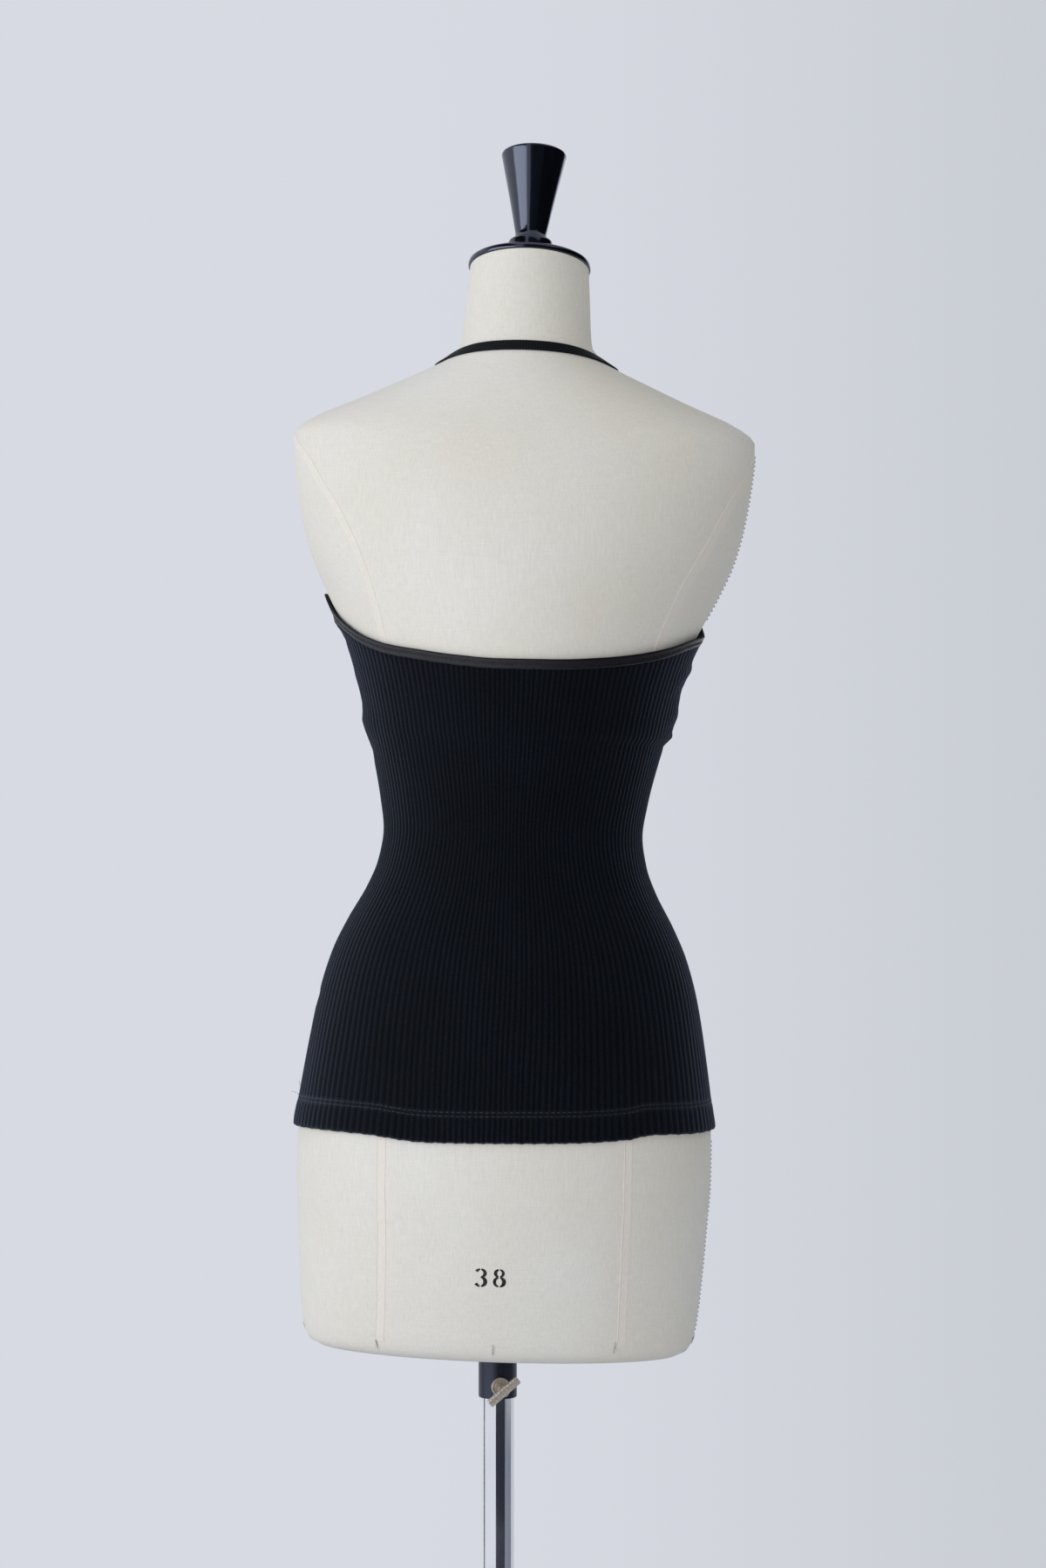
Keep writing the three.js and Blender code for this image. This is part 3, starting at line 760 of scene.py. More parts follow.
def make_seam_tapes():
    for name, (width, route) in SEAM_TAPES.items():
        middle, across, off, length = stations_on_form(route, 5)
        shape = swept(middle, across, off, flat_section(width, -0.3, 0.22, 0.1), length)
        piece(name, shape, "form", TAPE)
        if name in SEAM_EDGE:
            edge = middle + across * SEAM_EDGE[name]
            roll = swept(edge, across, off, flat_section(1.4, -0.3, 0.45, 0.35), length)
            piece(name.replace("tape", "roll"), roll, "form", LINEN, sharp=80)


STITCH_SPACING = 3.6
STITCH_THICKNESS = 1.2
# Overcast stitches down the side seams of the form: degrees, from one height to another
SIDE_SEAMS = {
    "side_seam_stitches_right": [(182.6, 8, 176), (180.8, 606, 742)],
    "side_seam_stitches_left": [(-6, 8, 176), (-6, 626, 742)],
}


def make_side_seams():
    for name, runs in SIDE_SEAMS.items():
        shape = bmesh.new()
        for degrees, low, high in runs:
            angle = math.radians(degrees)
            for height in np.arange(low, high, STITCH_SPACING):
                start = in_room(torso_point(angle - 0.004, height, 0.5))
                end = in_room(torso_point(angle + 0.01, height + 1.9, 0.5))
                thread_stitch(shape, start, end, torso_normal(angle, height), STITCH_THICKNESS)
        piece(name, shape, "form", FORM_THREAD)


# Wire staples that hold the linen at the lower edge of the form: degrees and height of their middle
STAPLE_THICKNESS = 1.35
STAPLES = [(54, 11), (90.4, 12), (127.6, 14.5), (180, 13), (232, 13), (270, 13), (308, 13), (0, 13)]


def make_staples():
    shape = bmesh.new()
    for degrees, height in STAPLES:
        angle = math.radians(degrees)
        low = torso_point(angle, height - 3.9)
        high = torso_point(angle, height + 3.9)
        normal = torso_normal(angle, height)
        corners = [low - normal * 0.8, low + normal * 0.7, high + normal * 0.7, high - normal * 0.8]
        side = np.cross(high - low, normal)
        for start, end in zip(corners, corners[1:]):
            across = side if start is not corners[1] else normal
            thread_stitch(shape, in_room(start), in_room(end), across, STAPLE_THICKNESS)
    piece("wire_staples", shape, "form", WIRE)


# Strokes of the size number, each a piece of an oval, in millimetres from the foot of the number's middle:
# the oval's centre, half width and half height, its span of degrees, and its fine and bold widths
DIGIT_STROKES = [
    ((-7.6, 11.1), (3.5, 3.1), (158, 97), (1.1, 2.7)), ((-7.6, 11.1), (3.5, 3.1), (84, -80), (1.1, 2.8)),
    ((-7.8, 4.1), (3.9, 3.7), (86, -82), (1.1, 3.3)), ((-7.8, 4.1), (3.9, 3.7), (-96, -156), (1.1, 2.9)),
    ((7.3, 11.3), (3.1, 2.9), (82, -77), (1.0, 2.3)), ((7.3, 11.3), (3.1, 2.9), (98, 257), (1.0, 2.7)),
    ((7.3, 4.2), (3.8, 3.7), (80, -82), (1.0, 3.3)), ((7.3, 4.2), (3.8, 3.7), (100, 262), (1.0, 2.6)),
]
DIGITS_MIDDLE = 89.4
DIGITS_FOOT = 64.2
FORM_HALF_WIDTH = 167


def make_size_digits():
    """A plain stencilled size number on the skirt of the form, in digits of no one's design"""
    number = bmesh.new()
    for (across, up), (half_width, half_height), (start, end), (fine, bold) in DIGIT_STROKES:
        turn = np.radians(np.linspace(start, end, 14))

        def on_form(angle):
            x = across + half_width * np.cos(angle)
            degrees = DIGITS_MIDDLE + np.degrees(np.arcsin(x / FORM_HALF_WIDTH))
            height = DIGITS_FOOT + up + half_height * np.sin(angle)
            return np.radians(degrees), height

        middle = torso_point(*on_form(turn))
        along = torso_point(*on_form(turn + 0.01)) - torso_point(*on_form(turn - 0.01))
        off = torso_normal(*on_form(turn))
        sideways = unit(np.cross(off, along))
        width = fine + (bold - fine) * np.abs(np.cos(turn)) ** 1.3
        stroke = swept(middle, sideways * width[:, None], off, flat_section(1, -0.25, 0.14, 0.02), 1)
        join(number, stroke)
    piece("size_digits", number, "form", INK)


# The neck of the form

HEAD_PLACE = (
    Matrix.Translation((0, 0, TORSO_BOTTOM * MM))
    @ Matrix.Rotation(-TORSO_LEAN, 4, "Y")
    @ Matrix.Translation((0, -float(smooth(SECTIONS, NECK_TOP, FORWARD)) * MM, NECK_TOP * MM))
    @ Matrix.Rotation(HEAD_PITCH, 4, "X")
)
CAP_TOP = 10
CAP_PROFILE = [
    [0, 0], [49.4, 0], [50.3, 0.25], [50.8, 0.9], [50.9, 2.2], [50.8, 3.7], [50.3, 4.7], [49.2, 5.5],
    [47, 6.2], [42, 7.3], [35, 8.4], [27, 9.3], [19, CAP_TOP], [0, CAP_TOP],
]
KNOB_PROFILE = [
    [0, 0], [17.6, 0], [18.3, 0.5], [18.6, 1.3], [18.6, 12.2], [18.3, 13.4], [17.5, 14.3], [15.9, 14.9],
    [15.1, 15.1], [14.8, 15.9], [14.3, 16.8], [13.6, 17.8], [13.2, 19.2], [13.2, 21.5], [13.9, 25.5],
    [15.9, 36], [19.5, 54], [23.6, 73], [26.5, 87], [27.1, 89.2], [27.2, 90.2], [26.9, 91], [26.0, 91.6],
    [20.6, 92.5], [14, 93.5], [7, 94.1], [0, 94.2],
]


def make_neck():
    for name, profile, height, node_name in (
        ("turned_neck_cap", CAP_PROFILE, SEAM_GAP, "neck_cap"),
        ("turned_knob", KNOB_PROFILE, CAP_TOP + 2 * SEAM_GAP, "knob"),
    ):
        shape = turned(profile, 128)
        moved(shape, HEAD_PLACE @ Matrix.Translation((0, 0, height * MM)))
        piece(name, shape, "form", LACQUER, [node_name])


# The stand

def make_stand():
    foot = POLE_FOOT + SEAM_GAP
    tube = [[0, foot], [POLE_RADIUS - 0.6, foot], [POLE_RADIUS, foot + 0.6], [POLE_RADIUS, POLE_TOP - 0.6]]
    tube += [[POLE_RADIUS - 0.6, POLE_TOP], [0, POLE_TOP]]
    piece("chromed_pole", turned(tube, 96), "pole", CHROME, ["pole"])

    plate = [
        [0, 0], [BASE_RADIUS - 1, 0], [BASE_RADIUS, 1], [BASE_RADIUS, 6.5], [BASE_RADIUS - 1, 9],
        [BASE_RADIUS - 4, 11], [150, 17], [70, 22], [44, 25.5], [34, 28.6], [28.5, 32], [26, 36], [25.3, 42],
        [25, SOCKET_TOP - 2.5], [24.3, SOCKET_TOP - 0.8], [23, SOCKET_TOP], [BORE_RADIUS + 0.6, SOCKET_TOP],
        [BORE_RADIUS, SOCKET_TOP - 0.6], [BORE_RADIUS, POLE_FOOT], [0, POLE_FOOT],
    ]
    piece("cast_base", turned(plate, 128), "stand", ENAMEL, ["base"])

    bottom = TORSO_BOTTOM - SLEEVE_HEIGHT - 2 * SEAM_GAP
    wall = [
        [BORE_RADIUS, 0.4], [BORE_RADIUS + 0.4, 0], [SLEEVE_RADIUS - 0.5, 0], [SLEEVE_RADIUS, 0.5],
        [SLEEVE_RADIUS, SLEEVE_HEIGHT - 0.4], [SLEEVE_RADIUS - 0.4, SLEEVE_HEIGHT],
        [BORE_RADIUS, SLEEVE_HEIGHT], [BORE_RADIUS, 0.4],
    ]
    sleeve = turned(wall, 96)
    moved(sleeve, Matrix.Translation((0, 0, bottom * MM)))
    piece("enamelled_sleeve", sleeve, "form", ENAMEL, ["sleeve"])


def make_clamp_screw():
    """Threaded shank, a cupped hub and a ribbed wing, made along +Z and then laid along +Y"""
    shank = [[0, POLE_RADIUS + SEAM_GAP], [SCREW_RADIUS - 0.5, POLE_RADIUS + SEAM_GAP]]
    for turn in range(3):
        z = POLE_RADIUS + 0.9 + turn
        shank += [[SCREW_RADIUS, z], [SCREW_RADIUS - 0.35, z + 0.5]]
    shank += [[SCREW_RADIUS, HUB_START], [SCREW_RADIUS, SCREW_LENGTH - 4]]
    flare = SCREW_RADIUS + 1.2
    shank += [[flare, SCREW_LENGTH - 2], [flare, SCREW_LENGTH], [0, SCREW_LENGTH]]
    shape = turned(shank, 48)
    far = HUB_START + HUB_LENGTH
    hub = [
        [0, HUB_START], [HUB_RADIUS - 1.2, HUB_START], [HUB_RADIUS - 0.3, HUB_START + 0.6],
        [HUB_RADIUS, HUB_START + 1.8], [HUB_RADIUS, far - 0.6], [HUB_RADIUS - 0.5, far],
        [HUB_RADIUS - 1.3, far - 0.2], [HUB_RADIUS - 2.2, far - 1.4], [SCREW_RADIUS + 0.2, far - 1.8],
        [0, far - 1.8],
    ]
    join(shape, turned(hub, 64))

    count = np.arange(WING_SIDES)
    angle = 2 * math.pi * (count + 0.5) / WING_SIDES
    square = 1 / np.maximum(np.abs(np.cos(angle)), np.abs(np.sin(angle)))
    reach = WING_SIZE / 2 * np.minimum(square, 1.22) * (1 - 0.05 * (count % 4 == 1))
    section = np.stack([reach * np.cos(angle), reach * np.sin(angle)], axis=-1)

    def bar(i, j):
        at = (j / WING_STEPS - 0.5) * WING_LENGTH
        end = np.clip((WING_LENGTH / 2 - np.abs(at)) / 1.2, 0, 1)
        size = np.sqrt(1 - (1 - end) ** 2) * 0.35 + 0.65
        size = size * (1 - 0.045 * (j % 6 == 3))
        y, z = (section[i] * size[:, None]).T
        return np.stack([at, y, z + SCREW_LENGTH], axis=-1) * MM

    wing = surface(WING_SIDES, WING_STEPS, bar, wrap=True)
    close_ends(wing)
    moved(wing, Matrix.Rotation(WING_ANGLE, 4, "Z"))
    join(shape, wing)
    lay = Matrix.Rotation(-math.pi / 2, 4, "X")
    height = (TORSO_BOTTOM - SCREW_DROP - 2 * SEAM_GAP) * MM
    moved(shape, Matrix.Translation((0, 0, height)) @ Matrix.Rotation(SCREW_TURN, 4, "Z") @ lay)
    piece("clamp_screw_with_ribbed_wing", shape, "screw", NICKEL, ["clamp_screw"], sharp=30)


# The knit

# Soft troughs and ridges in the cloth: from and to, in degrees and heights, with their width and lift
CREASES = [
    # under the right arm, where the back is drawn to the binding
    (177, 566, 161, 549, 3.4, 1.1), (178, 556, 166, 538, 3.0, -0.9), (177, 544, 168, 528, 3.6, 0.8),
    (171, 572, 156, 561, 2.8, 0.7), (172, 560, 197, 567, 5.0, 2.0), (170, 545, 195, 547, 4.6, -1.0),
    (166, 524, 195, 526, 7.5, 1.9), (169, 508, 193, 508, 2.8, 1.2), (168, 502.5, 193, 503, 2.4, -1.8),
    # at the left side, below the binding and over the band
    (-10, 598, 12, 593, 4.6, 2.0), (350, 598, 372, 593, 4.6, 2.0), (-8, 588, 16, 581, 4.0, -1.6),
    (-14, 518, 22, 511, 9.0, 2.9), (346, 518, 382, 511, 9.0, 2.9), (2, 556, 12, 541, 4.0, 0.5),
    (0, 503, 24, 500, 4.5, 0.8), (0, 487, 20, 491, 4.0, -0.9), (0, 284, 7, 287, 4.0, -1.3),
    # across the back, where the band's lower edge presses through
    (20, 497, 160, 498, 4.0, -0.35), (60, 512, 120, 511, 6.0, 0.25),
    # at the waist
    (8, 432, 34, 426, 5.0, 0.35), (172, 420, 146, 428, 5.0, 0.4), (4, 405, 26, 399, 5.0, -0.3),
    (176, 446, 152, 440, 5.0, -0.3),
    # in the front, from the bust to the arms and over the band
    (184, 566, 206, 590, 4.0, 1.0), (185, 548, 204, 566, 4.0, -0.8), (356, 572, 335, 596, 4.0, 1.0),
    (356, 552, 336, 572, 4.0, -0.8), (243, 690, 238, 640, 3.6, 0.7), (297, 690, 302, 640, 3.6, 0.7),
    (262, 620, 278, 622, 9.0, 0.6), (262, 560, 278, 561, 9.0, -0.5), (200, 500, 340, 499, 5.0, -0.9),
    (190, 509, 350, 508, 5.0, 0.6), (188, 430, 214, 424, 5.0, 0.4), (352, 426, 328, 431, 5.0, 0.35),
]
MM_PER_DEGREE = 2.3

# How far each rib strays from its place, in degrees, for the back and the front
rib_widths = np.random.default_rng(7).normal(0, 0.13, (2, RIBS_PER_PANEL + 1))


def crease_lift(degrees, height):
    lift = np.zeros(np.broadcast(degrees, height).shape)
    for from_degrees, from_height, to_degrees, to_height, width, rise in CREASES:
        run = (to_degrees - from_degrees) * MM_PER_DEGREE
        climb = to_height - from_height
        across = (degrees - from_degrees) * MM_PER_DEGREE
        up = height - from_height
        t = np.clip((across * run + up * climb) / (run**2 + climb**2), 0, 1)
        away = (across - t * run) ** 2 + (up - t * climb) ** 2
        fade = np.sin(math.pi * (0.12 + 0.76 * t))
        lift = lift + rise * fade * np.exp(-away / width**2)
    return lift


def hang_lift(degrees, height):
    """The slow unevenness of cloth that is pulled on by hand"""
    slow = np.sin(np.radians(degrees * 7) + height / 37) * np.sin(height / 53 + 1.3)
    quick = np.sin(np.radians(degrees * 17) - height / 19)
    return 0.16 * slow + 0.07 * quick


def cloth_in_room(degrees, height, off):
    raised = off + crease_lift(degrees, height) + hang_lift(degrees, height)
    return in_room(cloth_point(np.radians(degrees), height, np.maximum(raised, 0.5)))


OUTER_FACE = CLOTH_CLEARANCE + CLOTH_THICKNESS
HEM_ZONE = 27
BLEND_FOOT = 208
HEM_BLEND = 240
BODY_TOP = 500
UPPER_HEIGHT = 60
BLEND_ROWS = 8
ROW_STEP = 5.2

# Rows of a hem, whose cloth is folded in: height above its edge, step off the form, and the ribs' share
# of their relief
HEM_ROWS = [
    (23.5, 1.2, 0.0), (14, 1.15, 0.0), (5, 1.15, 0.0), (1.2, 1.25, 0.1), (0.3, 1.6, 0.25), (0.0, 2.2, 0.5),
    (0.4, 2.8, 0.8), (1.4, 3.1, 1.0), (4, 3.15, 1.1), (8, 3.15, 1.15), (12, 3.15, 1.15), (16, 3.15, 1.1),
    (19, 3.1, 0.95), (20.6, 2.95, 0.7), (21.5, 2.85, 0.55), (22.5, 2.95, 0.75), (23.8, 2.9, 0.7),
    (24.7, 2.75, 0.5), (25.6, 2.7, 0.75), (HEM_ZONE, 2.6, 1.0),
]


def panel_rows(upper_strips):
    """Rows up a panel: zone, place in the zone, step off the form, share of the ribs' relief. At the top
    the cloth is tucked into its elastic."""
    rows = [("hem", *row) for row in HEM_ROWS]
    rows += [("blend", (i + 1) / BLEND_ROWS, OUTER_FACE, 1.0) for i in range(BLEND_ROWS)]
    rows += [("body", height, OUTER_FACE, 1.0) for height in divided([HEM_BLEND, BODY_TOP], ROW_STEP)[1:]]
    rows += [("upper", (i + 1) / upper_strips, OUTER_FACE, 1.0) for i in range(upper_strips)]
    rows += [("tuck", 0.9, 2.5, 0.6), ("tuck", 2.0, 2.3, 0.2), ("tuck", 3.2, 2.2, 0.0)]
    return rows


def knit_spot(rows, edge, ends, share, level):
    """Degrees, height and step off the form at a share across a panel and at one of its rows"""
    zone = np.array([row[0] for row in rows])[level]
    value, step, relief = np.array([row[1:] for row in rows], float)[level].T
    zones = [zone == "hem", zone == "blend", zone == "body", zone == "upper"]
    blended = BLEND_FOOT + (HEM_BLEND - BLEND_FOOT) * value
    nominal = np.select(
        zones,
        [HEM_HEIGHT + value, blended, value, BODY_TOP + UPPER_HEIGHT * value],
        BODY_TOP + UPPER_HEIGHT + value,
    )
    strays = rib_widths[0 if ends[0] == 0 else 1]
    ribs = np.interp(share * RIBS_PER_PANEL, np.arange(RIBS_PER_PANEL + 1), strays)
    # Up the panel a rib wavers by a fraction of a degree. This fades out at the side seams.
    waver = 0.14 * np.sin(nominal / 41 + share * 11) + 0.08 * np.sin(nominal / 17 + share * 29)
    fade = np.clip(np.minimum(share, 1 - share) * 20, 0, 1)
    degrees = panel_degrees(share, ends, nominal) + (ribs + waver) * fade
    hem = hem_height(degrees)
    # The hem's lowest 5 mm are uneven by a few tenths of a millimetre.
    ragged = 0.22 * np.sin(share * 210) + 0.15 * np.sin(share * 487)
    top = panel_top(edge, degrees, ends)
    height = np.select(
        zones,
        [
            hem + value + ragged * np.clip(1 - value / 5, 0, 1),
            hem + HEM_ZONE + (HEM_BLEND - hem - HEM_ZONE) * value,
            value,
            BODY_TOP + (top - BODY_TOP) * value,
        ],
        top + value,
    )
    from_seam = np.minimum(share, 1 - share) * RIBS_PER_PANEL * 2
    tuck = np.clip(1 - from_seam, 0, 1) ** 2
    phase = np.sin(math.pi * share * RIBS_PER_PANEL) ** 2
    crown = phase * (1 - tuck)
    off = step - (step - 1.2) * tuck * 0.9 + RIB_RELIEF * relief * crown
    # The last value, the crown's share, paints shade into the knit's colour: low in the grooves, at the
    # seams' tucks and along the hem's fold.
    return degrees, height, off, crown * np.clip(relief, 0, 1)


def make_panel(name, edge, ends, upper_strips, node_name, cut):
    rows = panel_rows(upper_strips)
    across = RIBS_PER_PANEL * POINTS_PER_RIB
    crowns = []

    def place(i, j):
        degrees, height, off, crown = knit_spot(rows, edge, ends, i / across, j)
        crowns.append(crown)
        return cloth_in_room(degrees, height, off)

    length = cut[1] / MM
    shape = surface(across, len(rows) - 1, place, uv_size=(RIBS_PER_PANEL, length))
    made = piece(name, shape, "form", KNIT, [node_name], sharp=120)
    # The crown attribute carries the painted shade of the grooves, tucks and hem fold to the knit's
    # material.
    attribute = made.data.attributes.new("crown", "FLOAT", "POINT")
    attribute.data.foreach_set("value", crowns[0].astype(np.float32))
    return made


def cloth_normal(degrees, height):
    right = cloth_in_room(degrees + 0.3, height, 3.0) - cloth_in_room(degrees - 0.3, height, 3.0)
    up = cloth_in_room(degrees, height + 0.7, 3.0) - cloth_in_room(degrees, height - 0.7, 3.0)
    return np.cross(right, up)


def make_hem_stitching(name, ends, seed):
    """Two rows of double-needle stitches round the hem; the thread sits in the cloth it draws in."""
    shape = bmesh.new()
    chance = np.random.default_rng(seed)
    # Along one side the upper row's thread is slack, so it is thicker, longer and stands off the cloth.
    for row, (up, off) in enumerate([(HEM_STITCHING, 3.25), (HEM_STITCHING + NEEDLE_SPACING, 3.15)]):
        degrees = ends[0] + 0.8
        while degrees < ends[1] - 1.2:
            radius = HEM_RADIUS + HEM_WIDENING * math.cos(math.radians(degrees)) ** 2
            step = math.degrees(HEM_STITCH / radius)
            slack_thread = row == 1 and degrees < 30
            sewn = step * (0.98 if slack_thread else 0.74)
            rise = chance.normal(0, 0.12)
            places = np.array([degrees, degrees + sewn])
            heights = hem_height(places) + up + rise
            start, end = cloth_in_room(places, heights, off + (0.25 if slack_thread else 0))
            off_cloth = cloth_normal(degrees, float(heights[0]))
            thickness = SLACK_THREAD_THICKNESS if slack_thread else HEM_THREAD_THICKNESS
            thread_stitch(shape, start, end, off_cloth, thickness)
            degrees += step * (1 + chance.normal(0, 0.03))
    piece(name, shape, "form", HEM_THREAD)


def make_loose_threads():
    """Thread ends that stand out of the hem at its left side"""
    shape = bmesh.new()
    hem = float(hem_height(np.array(2.0)))
    ends = [
        [(2, 33, 3.2), (1, 33.6, 4.6), (0, 35.4, 5.3)],
        [(3, 31.5, 3.2), (2, 33, 4.4), (1, 33.2, 5.4)],
        [(9, 24.6, 3.3), (4, 25.0, 3.7), (1.5, 25.2, 5.4), (0.5, 26.3, 8.0), (0.4, 26.0, 10.2)],
    ]
    for places in ends:
        points = [cloth_in_room(degrees, hem + up, off) for degrees, up, off in places]
        for start, end in zip(points, points[1:]):
            thread_stitch(shape, start, end, (0, 0, 1), LOOSE_THREAD_THICKNESS)
    piece("loose_threads", shape, "form", HEM_THREAD)


# The elastics

def along_edge(edge, ends, degrees, depth, off):
    """Points on a bound edge: depth below it, measured across the elastic, and off the form"""
    here = smooth(edge, degrees)
    first = torso_point(np.radians(degrees), here)
    second = torso_point(np.radians(degrees + 0.5), here)
    run = np.hypot(second[..., 0] - first[..., 0], second[..., 1] - first[..., 1])
    climb = smooth(edge, degrees + 0.5) - here
    length = np.hypot(run, climb)
    turn = 0.5 * depth * climb / length / run
    return cloth_in_room(np.clip(degrees + turn, *ends), here - depth * run / length, off)


# Cross-section of an elastic folded over an edge: depth below the edge and step off the form
FOLDED_SECTION = [
    (8.0, 1.25), (8.25, 1.8), (8.25, 3.0), (8.1, 3.4), (7.6, 3.6), (6.7, 3.64), (5.9, 3.5), (5.0, 3.38),
    (4.1, 3.46), (3.2, 3.6), (1.8, 3.66), (0.9, 3.6), (0.35, 3.35), (0.05, 2.9), (-0.05, 2.4),
    (0.05, 1.9), (0.4, 1.4), (1.2, 1.15), (4.0, 1.1),
]
# Faces of the section from here to there, round the top of the fold, take the darker strap elastic.
DARK_FOLD = (11, 17)
BINDING_STEP = 2.2
STRAP_STEP = 2.4
# The zigzag that sews an elastic down: its stitch, middle line, swing to each side, and thread
ZIGZAG_STITCH = 2
ZIGZAG_DEPTH = 5
ZIGZAG_SWING = 1.1
ZIGZAG_THICKNESS = 0.85


def make_binding(name, edge, start, end):
    section = np.array(FOLDED_SECTION)
    ends = (start, end)
    finely = np.linspace(start, end, 200)
    line = torso_point(np.radians(finely), smooth(edge, finely))
    length = length_of(line)
    steps = round(length / BINDING_STEP)

    def place(i, j):
        along = j / steps
        depth, off = section[i].T
        # Below its middle the elastic ripples slightly along the edge.
        ripple = 0.1 * np.sin(along * length / 3.1) * (depth > 4)
        degrees = start + (end - start) * along
        return along_edge(edge, ends, degrees, depth + ripple, off + 0.5 * ripple)

    shape = surface(len(section), steps, place, wrap=True, uv_size=(len(section), length))
    uv = shape.loops.layers.uv.active
    for face in shape.faces:
        across = sum(loop[uv].uv.x for loop in face.loops) / 4
        face.material_index = 1 if DARK_FOLD[0] < across < DARK_FOLD[1] else 0
    close_ends(shape)
    made = piece(name + "_satin", shape, "form", [SATIN, STRAP_CLOTH], [name])
    sewing = bmesh.new()
    stitches = round(length / ZIGZAG_STITCH)
    places = start + (end - start) * (np.arange(stitches + 1) + 0.5) / (stitches + 1)
    depths = ZIGZAG_DEPTH + ZIGZAG_SWING * (-1.0) ** np.arange(stitches + 1)
    points = along_edge(edge, ends, places, depths, 3.5)
    out = points - along_edge(edge, ends, places, depths, 3.0)
    for i in range(stitches):
        thread_stitch(sewing, points[i], points[i + 1], out[i], ZIGZAG_THICKNESS)
    piece(name + "_zigzag", sewing, "form", ZIGZAG_THREAD)


def strap_in_front():
    """Degrees and heights where the strap hangs in a straight line in front of the left shoulder."""
    turns = np.linspace(-88, -12, 153)
    rows = []
    for height in np.arange(*STRAP_LINE_ROWS):
        sideways = torso_point(np.radians(turns), np.full(len(turns), height))[:, 0]
        wanted = np.interp(height, STRAP_LINE_HEIGHTS, STRAP_LINE_SIDEWAYS)
        rows.append([np.interp(wanted, sideways, turns), height])
    return rows


def make_strap():
    far_end = STRAP_ROUTE + strap_in_front()
    route = far_end[::-1] + [[180 - degrees, height] for degrees, height in far_end[1:]]
    middle, across, off, length = stations_on_form(route, STRAP_STEP, settle=12)
    section = flat_section(STRAP_WIDTH, STRAP_CLEARANCE, STRAP_CLEARANCE + STRAP_THICKNESS, 0.4)
    shape = swept(middle, across, off, section, length)
    made = piece("neck_strap_elastic", shape, "form", STRAP_CLOTH, ["neck_strap"])


# All of the pieces

make_linen_form()
make_seam_tapes()
make_side_seams()
make_staples()
make_size_digits()
make_neck()
make_stand()
make_clamp_screw()

# Flat cuts in metres: width and length of the rectangle round each. The elastics are cut about a seventh
# shorter than their edge.
BACK_CUT = (0.470, 0.425)
FRONT_CUT = (0.470, 0.560)

make_panel("knit_back", BACK_EDGE, BACK_DEGREES, 14, "back_panel", BACK_CUT)
make_panel("knit_front", FRONT_EDGE, FRONT_DEGREES, 36, "front_panel", FRONT_CUT)
make_hem_stitching("hem_stitching_back", BACK_DEGREES, 3)
make_hem_stitching("hem_stitching_front", FRONT_DEGREES, 4)
make_loose_threads()
for elastic, (edge, start, end, length) in BINDINGS.items():
    make_binding(elastic, edge, start, end)
make_strap()


# The studio

FLOOR_RADIUS = 1.7


def staged(name, shape, finish):
    """Makes the mesh a thing of the studio, not of the object."""
    mesh = bpy.data.meshes.new(name)
    shape.to_mesh(mesh)
    shape.free()
    mesh.materials.append(finish)
    made = bpy.data.objects.new(name, mesh)
    bpy.context.scene.collection.objects.link(made)
    return made


floor = bmesh.new()
bmesh.ops.create_circle(floor, cap_ends=True, segments=128, radius=FLOOR_RADIUS)
moved(floor, Matrix.Translation((0, 0, -0.0005)))
staged("studio_floor", floor, FLOOR)


def soft_light(name, place, aim, size, power, code):
    """A large soft light that faces the form"""
    lamp = bpy.data.lights.new(name, "AREA")
    lamp.shape = "RECTANGLE"
    lamp.size = size[0]
    lamp.size_y = size[1]
    lamp.energy = power
    lamp.color = linear(code)[:3]
    made = bpy.data.objects.new(name, lamp)
    made.location = place
    made.rotation_mode = "QUATERNION"
    made.rotation_quaternion = (Vector(aim) - Vector(place)).to_track_quat("-Z", "Y")
    bpy.context.scene.collection.objects.link(made)
    return made


soft_light("window_side", (2.3, 2.45, 1.65), (0, 2.2, 1.65), (3.8, 2.2), 60, "F6F9FF")
fill = soft_light("fill_by_the_camera", (-1.5, 3.2, 1.1), (0, 0, 1.0), (1.8, 1.8), 19, "FFFDFA")
fill.visible_glossy = False
soft_light("fill_front", (-1.0, -2.9, 1.7), (0, 0, 1.1), (1.8, 1.8), 8, "F4F6FF")


QUARTER = math.radians(90)


def flag(name, size, turn, place, finish):
    """A studio board that darkens what it faces. The camera doesn't see it."""
    board = bmesh.new()
    bmesh.ops.create_grid(board, x_segments=1, y_segments=1, size=0.5)
    upright = Matrix.Rotation(turn, 4, "Z") @ Matrix.Rotation(QUARTER, 4, "X")
    moved(board, Matrix.Translation(place) @ upright @ Matrix.Diagonal((*size, 1, 1)))
    made = staged(name, board, finish)
    made.visible_camera = False
    return made


BLACK_CLOTH = plain_board("black_flag_cloth", "1C1D20")
CHARCOAL_CARD = plain_board("charcoal_card", "3A3C43")
GREY_CARD = plain_board("grey_card", "858890")
flag("flag_at_the_right", (2.3, 2.1), QUARTER, (-2.42, 0.4, 1.25), BLACK_CLOTH)
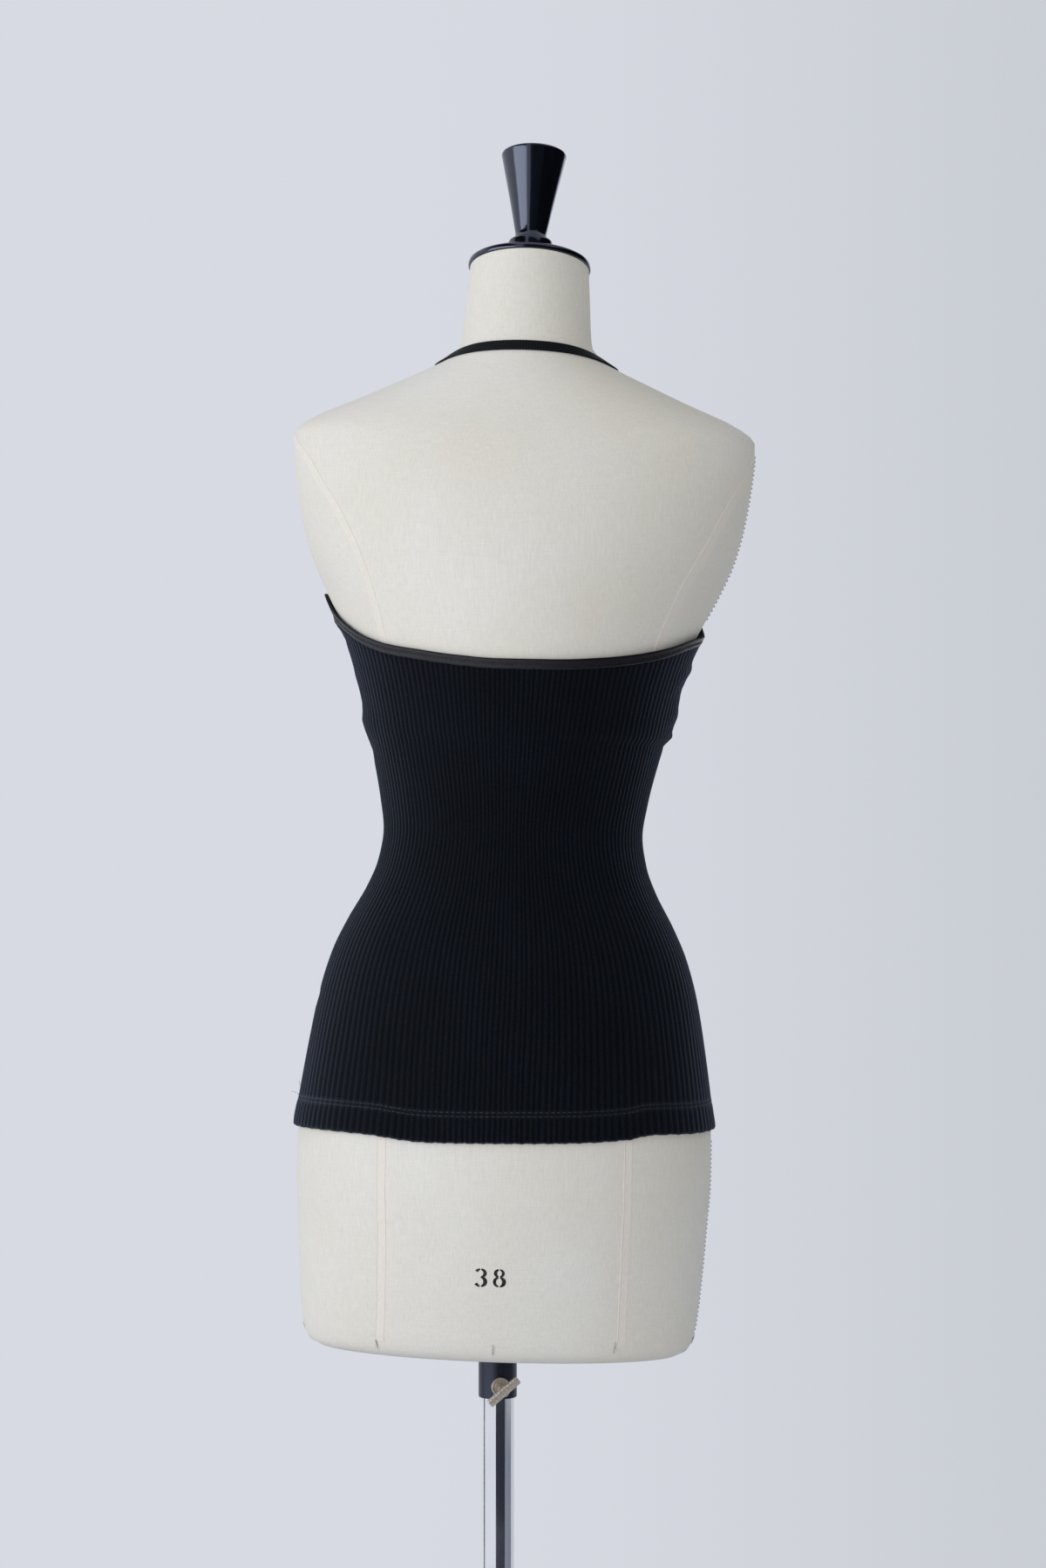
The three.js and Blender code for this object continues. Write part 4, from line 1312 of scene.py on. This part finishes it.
# Boards that only shiny things see: name, size, turn, place and finish
for kind in (
    ("dark_by_the_camera", (6.6, 7.0), 0, (-2.68, 3.6, 2.0), CHARCOAL_CARD),
    ("dark_at_the_right", (6.4, 3.4), QUARTER, (-2.7, 0.2, 2.1), BLACK_CLOTH),
    ("grey_at_the_right", (2.6, 1.6), QUARTER, (-2.4, 0.35, -0.65), GREY_CARD),
    ("dark_over_the_window", (5.5, 3.8), QUARTER, (2.6, 2.3, 4.7), BLACK_CLOTH),
    ("dark_past_the_window", (0.5, 1.6), QUARTER, (2.4, -0.65, -0.4), BLACK_CLOTH),
):
    flag(*kind).visible_diffuse = False

world = bpy.data.worlds.new("pale_studio")
bpy.context.scene.world = world
world.use_nodes = True
sky = world.node_tree.nodes["Background"]
direction = node(world.node_tree, "TexCoord").outputs["Generated"]
leftwards = node(world.node_tree, "SeparateXYZ", links={"Vector": direction}).outputs["X"]
across_it = node(
    world.node_tree,
    "MapRange",
    {"interpolation_type": "SMOOTHSTEP"},
    {"From Min": -0.2, "From Max": 0.1},
    {"Value": leftwards},
).outputs["Result"]
paper = tone(world.node_tree, across_it, (0.0, "C3C7CE"), (1.0, "D7DAE2"))
world.node_tree.links.new(paper, sky.inputs["Color"])
bpy.context.scene.view_settings.view_transform = "Standard"

# The camera stands level, 3 m from the pole, and sees 0.72 mm to a pixel of 1200 by 1799 there.
CAMERA_DISTANCE = 3.0
CAMERA_HEIGHT = 1.0752
CAMERA_AZIMUTH = math.radians(183)
FRAME_SHIFT = 0.0209
PIXEL = 0.00072
PICTURE_HEIGHT = 1799
# The sensor's millimetres go along the longer side, the picture's height.
SENSOR_LENGTH = 36
towards = Vector((math.sin(CAMERA_AZIMUTH), -math.cos(CAMERA_AZIMUTH), 0))
sideways = Vector((towards.y, -towards.x, 0))
lens = bpy.data.cameras.new("camera")
lens.sensor_width = SENSOR_LENGTH
lens.lens = SENSOR_LENGTH * CAMERA_DISTANCE / (PICTURE_HEIGHT * PIXEL)
lens.clip_start = 0.05
camera = bpy.data.objects.new("camera", lens)
camera.location = towards * CAMERA_DISTANCE - sideways * FRAME_SHIFT + Vector((0, 0, CAMERA_HEIGHT))
camera.rotation_euler = (math.radians(90), 0, CAMERA_AZIMUTH)
bpy.context.scene.collection.objects.link(camera)
bpy.context.scene.camera = camera
